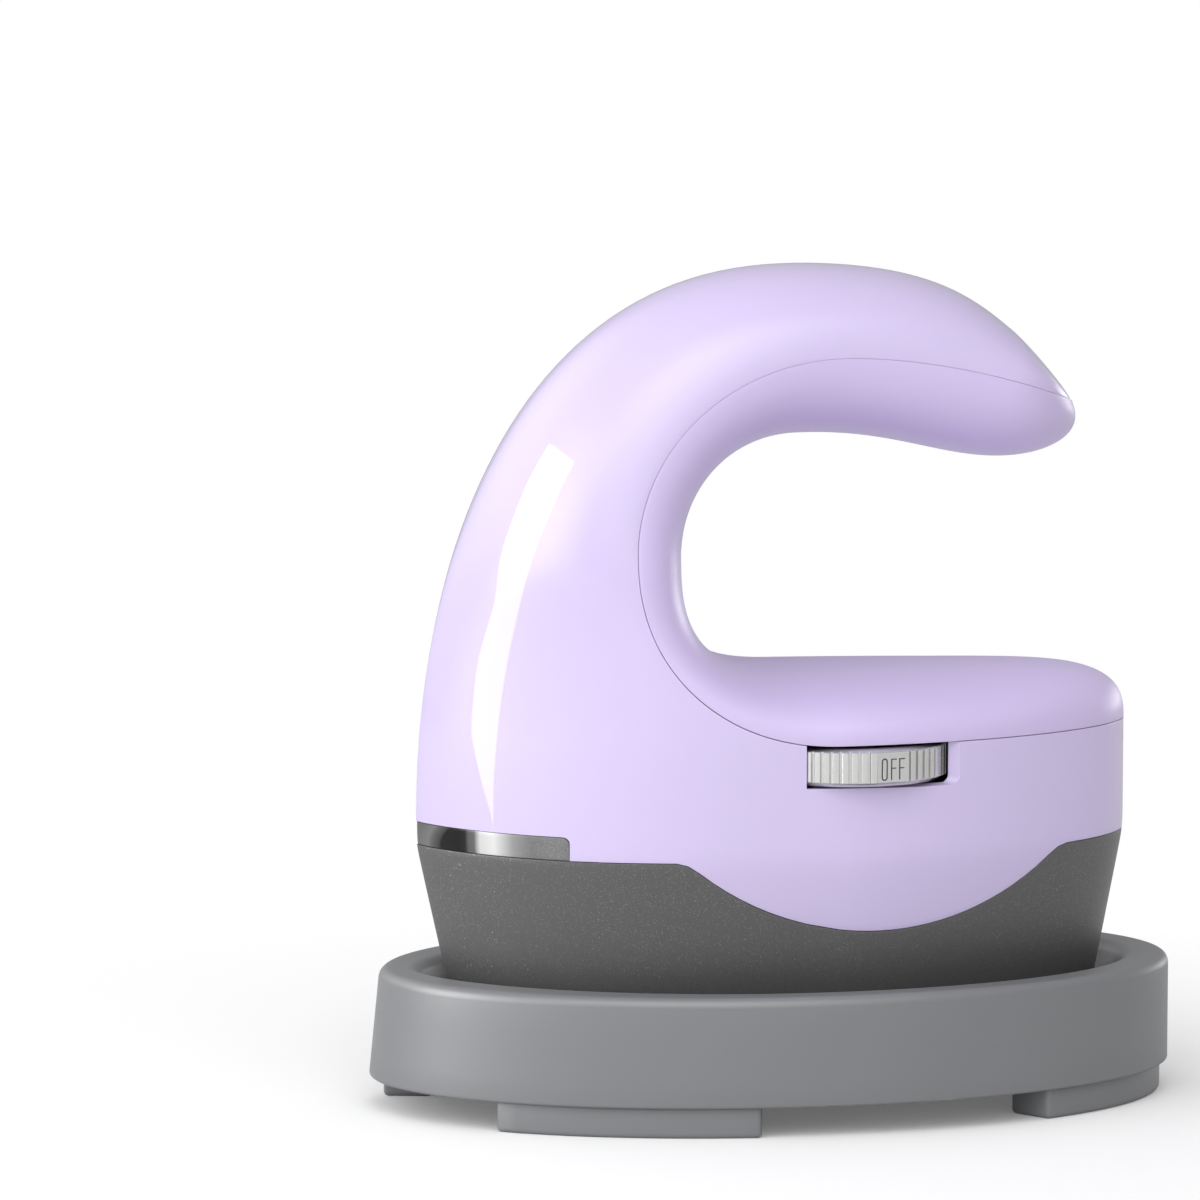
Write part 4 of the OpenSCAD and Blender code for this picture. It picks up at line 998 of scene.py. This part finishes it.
def plate_material():
    """Speckled ivory sole with a champagne band on its bevel and edge."""
    n = Nodes("plate_coating")
    split = n.add("ShaderNodeSeparateXYZ")
    n.link(n.coord, split.inputs["Vector"])
    sole = n.mix(n.noise(70.0, 4.0), rgb(232, 222, 205), rgb(243, 236, 222))
    vor = n.add("ShaderNodeTexVoronoi", Scale=900.0)
    n.link(n.coord, vor.inputs["Vector"])
    speck = n.span(vor.outputs["Distance"], 1.0, 0.0, 0.12, 0.22)
    sole = n.mix(speck, sole, rgb(128, 104, 84))
    band = n.mix(n.noise(1500.0, 3.0), rgb(176, 152, 128), rgb(204, 182, 158))
    edge = n.span(split.outputs["Z"], 0.0, 1.0, (SOLE_Z + 0.1) * MM, (SOLE_Z + 0.45) * MM)
    n.link(n.mix(edge, sole, band), n.shader.inputs["Base Color"])
    n.link(n.span(n.noise(900.0), 0.28, 0.4), n.shader.inputs["Roughness"])
    n.link(n.span(edge, 0.0, 0.55, 0.0, 1.0), n.shader.inputs["Metallic"])
    n.bump(n.noise(2600.0), 0.12, 1e-5)
    return n.mat


def window_material():
    """Smoked window with painted reflections: bands of grey on the way back from the tip, among them a dark
    arc and a bright patch painted as reflections, and speckle further back.
    """
    n = Nodes("window_plastic")
    split = n.add("ShaderNodeSeparateXYZ")
    n.link(n.coord, split.inputs["Vector"])
    side = n.calc("ABSOLUTE", split.outputs["Y"])
    # Places along the window, as distances from the middle plane
    dark_reflection_end, swap_at, swap_end, bright_reflection_at, bright_reflection_end = 10.5 * MM, 9.8 * MM, 10.2 * MM, 9.5 * MM, 24.5 * MM
    grit_at, grit_end, lean_back, lean_power = 17.5 * MM, 22 * MM, 2.2 * MM, 2.2
    # The painted dark reflection ends in an arc that leans back with height
    rise = n.span(split.outputs["Z"], 0.0, 1.0, PART_Z * MM, (PART_Z + WINDOW_H) * MM)
    back = n.calc("ADD", side, n.calc("MULTIPLY", n.calc("POWER", rise, lean_power), -lean_back))
    near = n.span(back, 0.0, 1.0, 0.0, dark_reflection_end)
    # Near the tip: greys, then black where a dark reflection is painted
    first = n.ramp(near, [(0.0, grey(92)), (0.3, grey(112)), (0.42, grey(84)), (0.55, grey(58)),
                          (0.6, grey(14)), (1.0, grey(9))])
    far = n.span(side, 0.0, 1.0, bright_reflection_at, bright_reflection_end)
    # Further back: black, greys, a bright patch that is a painted reflection, then greys
    second = n.ramp(far, [(0.0, grey(9)), (0.1, grey(26)), (0.14, grey(88)), (0.2, grey(96)),
                          (0.26, grey(200)), (0.4, rgb(214, 214, 213)), (0.56, grey(148)),
                          (0.72, grey(98)), (1.0, grey(80))])
    painted_reflection_bands = n.mix(n.span(side, 0.0, 1.0, swap_at, swap_end), first, second)
    grit = n.mix(n.noise(3000.0, 3.0, 0.8), grey(20), grey(196))
    where = n.span(side, 0.0, 0.5, grit_at, grit_end)
    n.link(n.mix(where, painted_reflection_bands, grit), n.shader.inputs["Base Color"])
    n.link(n.span(n.noise(500.0), 0.08, 0.14), n.shader.inputs["Roughness"])
    n.bump(n.noise(800.0), 0.03, 1e-5)
    n.shader.inputs["Specular IOR Level"].default_value = 0.3
    return n.mat


SHELL = rgb(206, 193, 230)
MATS = {
    "shell_plastic": material("shell_plastic", SHELL, 0.4, vary=0.012, scale=25.0, grain=900.0, bump=0.02,
                              depth=5e-6, rough_vary=0.03, Specular_IOR_Level=0.15, Coat_Weight=0.8,
                              Coat_Roughness=0.03),
    "cover_plastic": material("cover_plastic", rgb(205, 190, 230), 0.38, vary=0.015, scale=25.0, grain=2600.0,
                              bump=0.05, depth=6e-6, rough_vary=0.04, Coat_Weight=0.2, Coat_Roughness=0.22),
    "housing_plastic": fleck_material("housing_plastic", grey(79), 0.4, rgb(172, 172, 170), 5000.0, 0.24, 0.7,
                                      Specular_IOR_Level=0.8),
    # The stand's lighter colour on its sharp edges is a painted highlight
    "stand_plastic": material("stand_plastic", rgb(116, 117, 120), 0.42, vary=0.03, scale=40.0, grain=3200.0,
                              bump=0.14, depth=2e-5, rough_vary=0.06, edge_highlight=rgb(126, 127, 130),
                              Specular_IOR_Level=1.0),
    "window_plastic": window_material(),
    "plate_coating": plate_material(),
    "dial_silver": material("dial_silver", rgb(218, 218, 217), 0.24, 0.8, vary=0.01, scale=200.0, grain=900.0,
                            bump=0.01, depth=1e-6, rough_vary=0.03),
    "dark_resin": material("dark_resin", rgb(28, 28, 30), 0.6, grain=3000.0),
    "heater_metal": material("heater_metal", rgb(122, 122, 126), 0.42, 0.9, vary=0.15, scale=120.0),
    "clamp_steel": material("clamp_steel", rgb(186, 188, 192), 0.33, 1.0, grain=1800.0),
    "fibre_pad": material("fibre_pad", rgb(224, 220, 206), 0.95, vary=0.1, scale=700.0, grain=2200.0,
                          bump=0.8, depth=2e-4, rough_vary=0.04),
    "shield_sheet": material("shield_sheet", rgb(206, 208, 211), 0.28, 1.0, grain=1500.0),
    "fuse_brass": material("fuse_brass", rgb(212, 180, 110), 0.3, 1.0),
    "sensor_resin": material("sensor_resin", rgb(45, 95, 138), 0.3, Coat_Weight=0.4),
    "board_laminate": material("board_laminate", rgb(42, 104, 66), 0.4, vary=0.12, scale=500.0,
                               Coat_Weight=0.3),
    "spacer_brass": material("spacer_brass", rgb(210, 182, 120), 0.32, 1.0),
    "led_resin": material("led_resin", rgb(240, 236, 224), 0.25, vary=0.04, Coat_Weight=0.5),
    "shaft_steel": material("shaft_steel", rgb(196, 196, 200), 0.28, 1.0, grain=2200.0),
    "terminal_resin": material("terminal_resin", rgb(230, 227, 218), 0.5),
    "bushing_rubber": material("bushing_rubber", rgb(46, 46, 48), 0.65, vary=0.1, grain=2600.0, bump=0.3),
    "lead_silicone": material("lead_silicone", rgb(196, 66, 56), 0.5),
    "screw_steel": material("screw_steel", rgb(178, 180, 184), 0.35, 1.0, grain=2000.0),
}


def dress(obj, slot):
    obj.data.materials.clear()
    obj.data.materials.append(MATS[slot])


for entry in frame["record"]["subparts"]:
    dress(frame["nodes"][entry["node"]], entry["material_slot"])

PIECES = [
    (make_shell(), "heat_press_shell", "press", "shell_plastic", ["outer_shell"]),
    (make_cover(), "heat_press_cover", "press", "cover_plastic", ["inner_cover"]),
    (make_housing(), "heat_press_housing", "press", "housing_plastic", ["base_housing"]),
    (make_window(), "heat_press_window", "press", "window_plastic", ["indicator_window"]),
    (make_plate(), "heat_press_plate", "press", "plate_coating", ["heating_plate"]),
    # The dark liner behind the dial stands in for shade: painted shade
    (make_shade_liner(), "dial_shade_liner", "press", "dark_resin", []),
    (make_dial(), "dial_wheel", "dial", "dial_silver", ["thumb_dial"]),
    (make_off_mark(), "off_mark", "dial", "dark_resin", []),
    (make_stand(), "stand_tray", "stand", "stand_plastic", ["stand_body"]),
]
for obj, name, body, slot, nodes in PIECES:
    obj.name = name
    dress(obj, slot)
    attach(obj, body)
    if nodes:
        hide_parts(*nodes)

# ---- Stage, light and camera ----
# Name, place, what it points at, size, power; all fade out towards their edges but the strip, which
# only shows as a reflection
LIGHTS = [
    ("strip", (-0.3, 0.0405, 0.149), (0, 0.0405, 0.149), (0.195, 0.282), 1.0),
    ("key", (-1.5, -0.4, 0.5), (0, 0, 0.06), (2.4, 2.0), 15.0),
    ("high", (-0.3, -1.1, 1.5), (0, 0, 0.06), (2.6, 2.2), 16.0),
    ("front", (0.0, -1.8, 0.7), (0, 0, 0.06), (2.2, 1.6), 4.0),
    ("rim", (1.3, 1.0, 0.12), (0.03, 0, 0.06), (1.2, 0.8), 3.0),
    ("back", (-0.9, 1.1, 0.7), (0, 0, 0.07), (1.8, 1.6), 3.0),
]
# The strip narrows downwards: share of its height, share of its width that is lit
STRIP_SIDE = [(0.0, 0.0), (0.04, 0.03), (0.12, 0.2), (0.2, 0.38), (0.5, 0.7), (0.8, 0.93), (1.0, 1.0)]
WORLD_FILL = 0.43
CAMERA_AT = (-0.23896, -1.05054, 0.19895)
CAMERA_DIR = (0.19497, 0.97473, -0.1078)
SENSOR, FOCAL_PIXELS, FRAME_PIXELS = 36.0, 6599.8, 1200
# The floor to the camera and to the light, and the distances between which it runs out into white
FLOOR_SEEN, FLOOR_LIT, FLOOR_CLEAR, FLOOR_WHITE = (0.99, 0.99, 0.995, 1), (0.7, 0.7, 0.7, 1), 0.08, 0.19


def stage_material():
    """Pale floor that keeps the shadows and runs out into white."""
    n = Nodes("stage_floor")
    n.shader.inputs["Roughness"].default_value = 0.75
    n.shader.inputs["Specular IOR Level"].default_value = 0.2
    away = n.add("ShaderNodeVectorMath", operation="LENGTH")
    n.link(n.coord, away.inputs[0])
    white = n.add("ShaderNodeEmission", Color=(1, 1, 1, 1))
    share = n.span(away.outputs["Value"], 0.12, 1.0, FLOOR_CLEAR, FLOOR_WHITE)
    path = n.add("ShaderNodeLightPath")
    n.link(n.mix(path.outputs["Is Camera Ray"], FLOOR_LIT, FLOOR_SEEN), n.shader.inputs["Base Color"])
    both = n.add("ShaderNodeMixShader")
    n.link(n.calc("MULTIPLY", share, path.outputs["Is Camera Ray"]), both.inputs[0])
    n.link(n.shader.outputs[0], both.inputs[1])
    n.link(white.outputs[0], both.inputs[2])
    n.link(both.outputs[0], n.tree.nodes["Material Output"].inputs["Surface"])
    return n.mat


def make_floor():
    size = 4.0
    verts = [(-size, -size, 0), (size, -size, 0), (size, size, 0), (-size, size, 0)]
    obj = new_object("stage_floor", verts, [(0, 1, 2, 3)], 1.0)
    obj.data.materials.append(stage_material())


def softbox(name, at, target, size, power):
    """Lamp with a rectangular face that looks at a point."""
    light = bpy.data.lights.new(name, "AREA")
    light.shape, light.size, light.size_y = "RECTANGLE", size[0], size[1]
    light.energy = power
    obj = bpy.data.objects.new(name, light)
    obj.location = at
    obj.rotation_euler = (Vector(target) - Vector(at)).to_track_quat("-Z", "Y").to_euler()
    bpy.context.collection.objects.link(obj)
    light.use_nodes = True
    n = Nodes(tree=light.node_tree)
    split = n.add("ShaderNodeSeparateXYZ")
    n.link(n.add("ShaderNodeNewGeometry").outputs["Parametric"], split.inputs["Vector"])
    if name == "strip":
        obj.visible_diffuse = False
        dark = n.ramp(split.outputs["Y"], [(height, (1 - lit,) * 3 + (1,)) for height, lit in STRIP_SIDE])
        level = n.calc("GREATER_THAN", split.outputs["X"], dark)
    else:
        # Brightest in the middle, and less by the distance from the nearer edge, across and along
        edges = [n.calc("PINGPONG", split.outputs[axis], 0.5) for axis in "XY"]
        level = n.calc("MULTIPLY", *[n.span(off, 0.0, 1.8, 0.0, 0.4) for off in edges])
    n.link(level, n.tree.nodes["Emission"].inputs["Strength"])


def make_world():
    """White to the camera and a dimmer even light on the object."""
    world = bpy.data.worlds.new("studio")
    bpy.context.scene.world = world
    world.use_nodes = True
    tree = world.node_tree
    back = tree.nodes["Background"]
    back.inputs["Color"].default_value = (1, 1, 1, 1)
    path = tree.nodes.new("ShaderNodeLightPath")
    level = tree.nodes.new("ShaderNodeMapRange")
    level.inputs["To Min"].default_value = WORLD_FILL
    level.inputs["To Max"].default_value = 1.0
    tree.links.new(path.outputs["Is Camera Ray"], level.inputs["Value"])
    tree.links.new(level.outputs["Result"], back.inputs["Strength"])


def make_camera():
    cam = bpy.data.cameras.new("camera")
    cam.sensor_fit, cam.sensor_width = "HORIZONTAL", SENSOR
    cam.lens = SENSOR * FOCAL_PIXELS / FRAME_PIXELS
    cam.clip_start, cam.clip_end = 0.01, 50
    obj = bpy.data.objects.new("camera", cam)
    obj.location = CAMERA_AT
    obj.rotation_euler = Vector(CAMERA_DIR).to_track_quat("-Z", "Y").to_euler()
    bpy.context.collection.objects.link(obj)
    bpy.context.scene.camera = obj


make_floor()
make_world()
make_camera()
for light in LIGHTS:
    softbox(*light)
bpy.context.scene.view_settings.view_transform = "Standard"
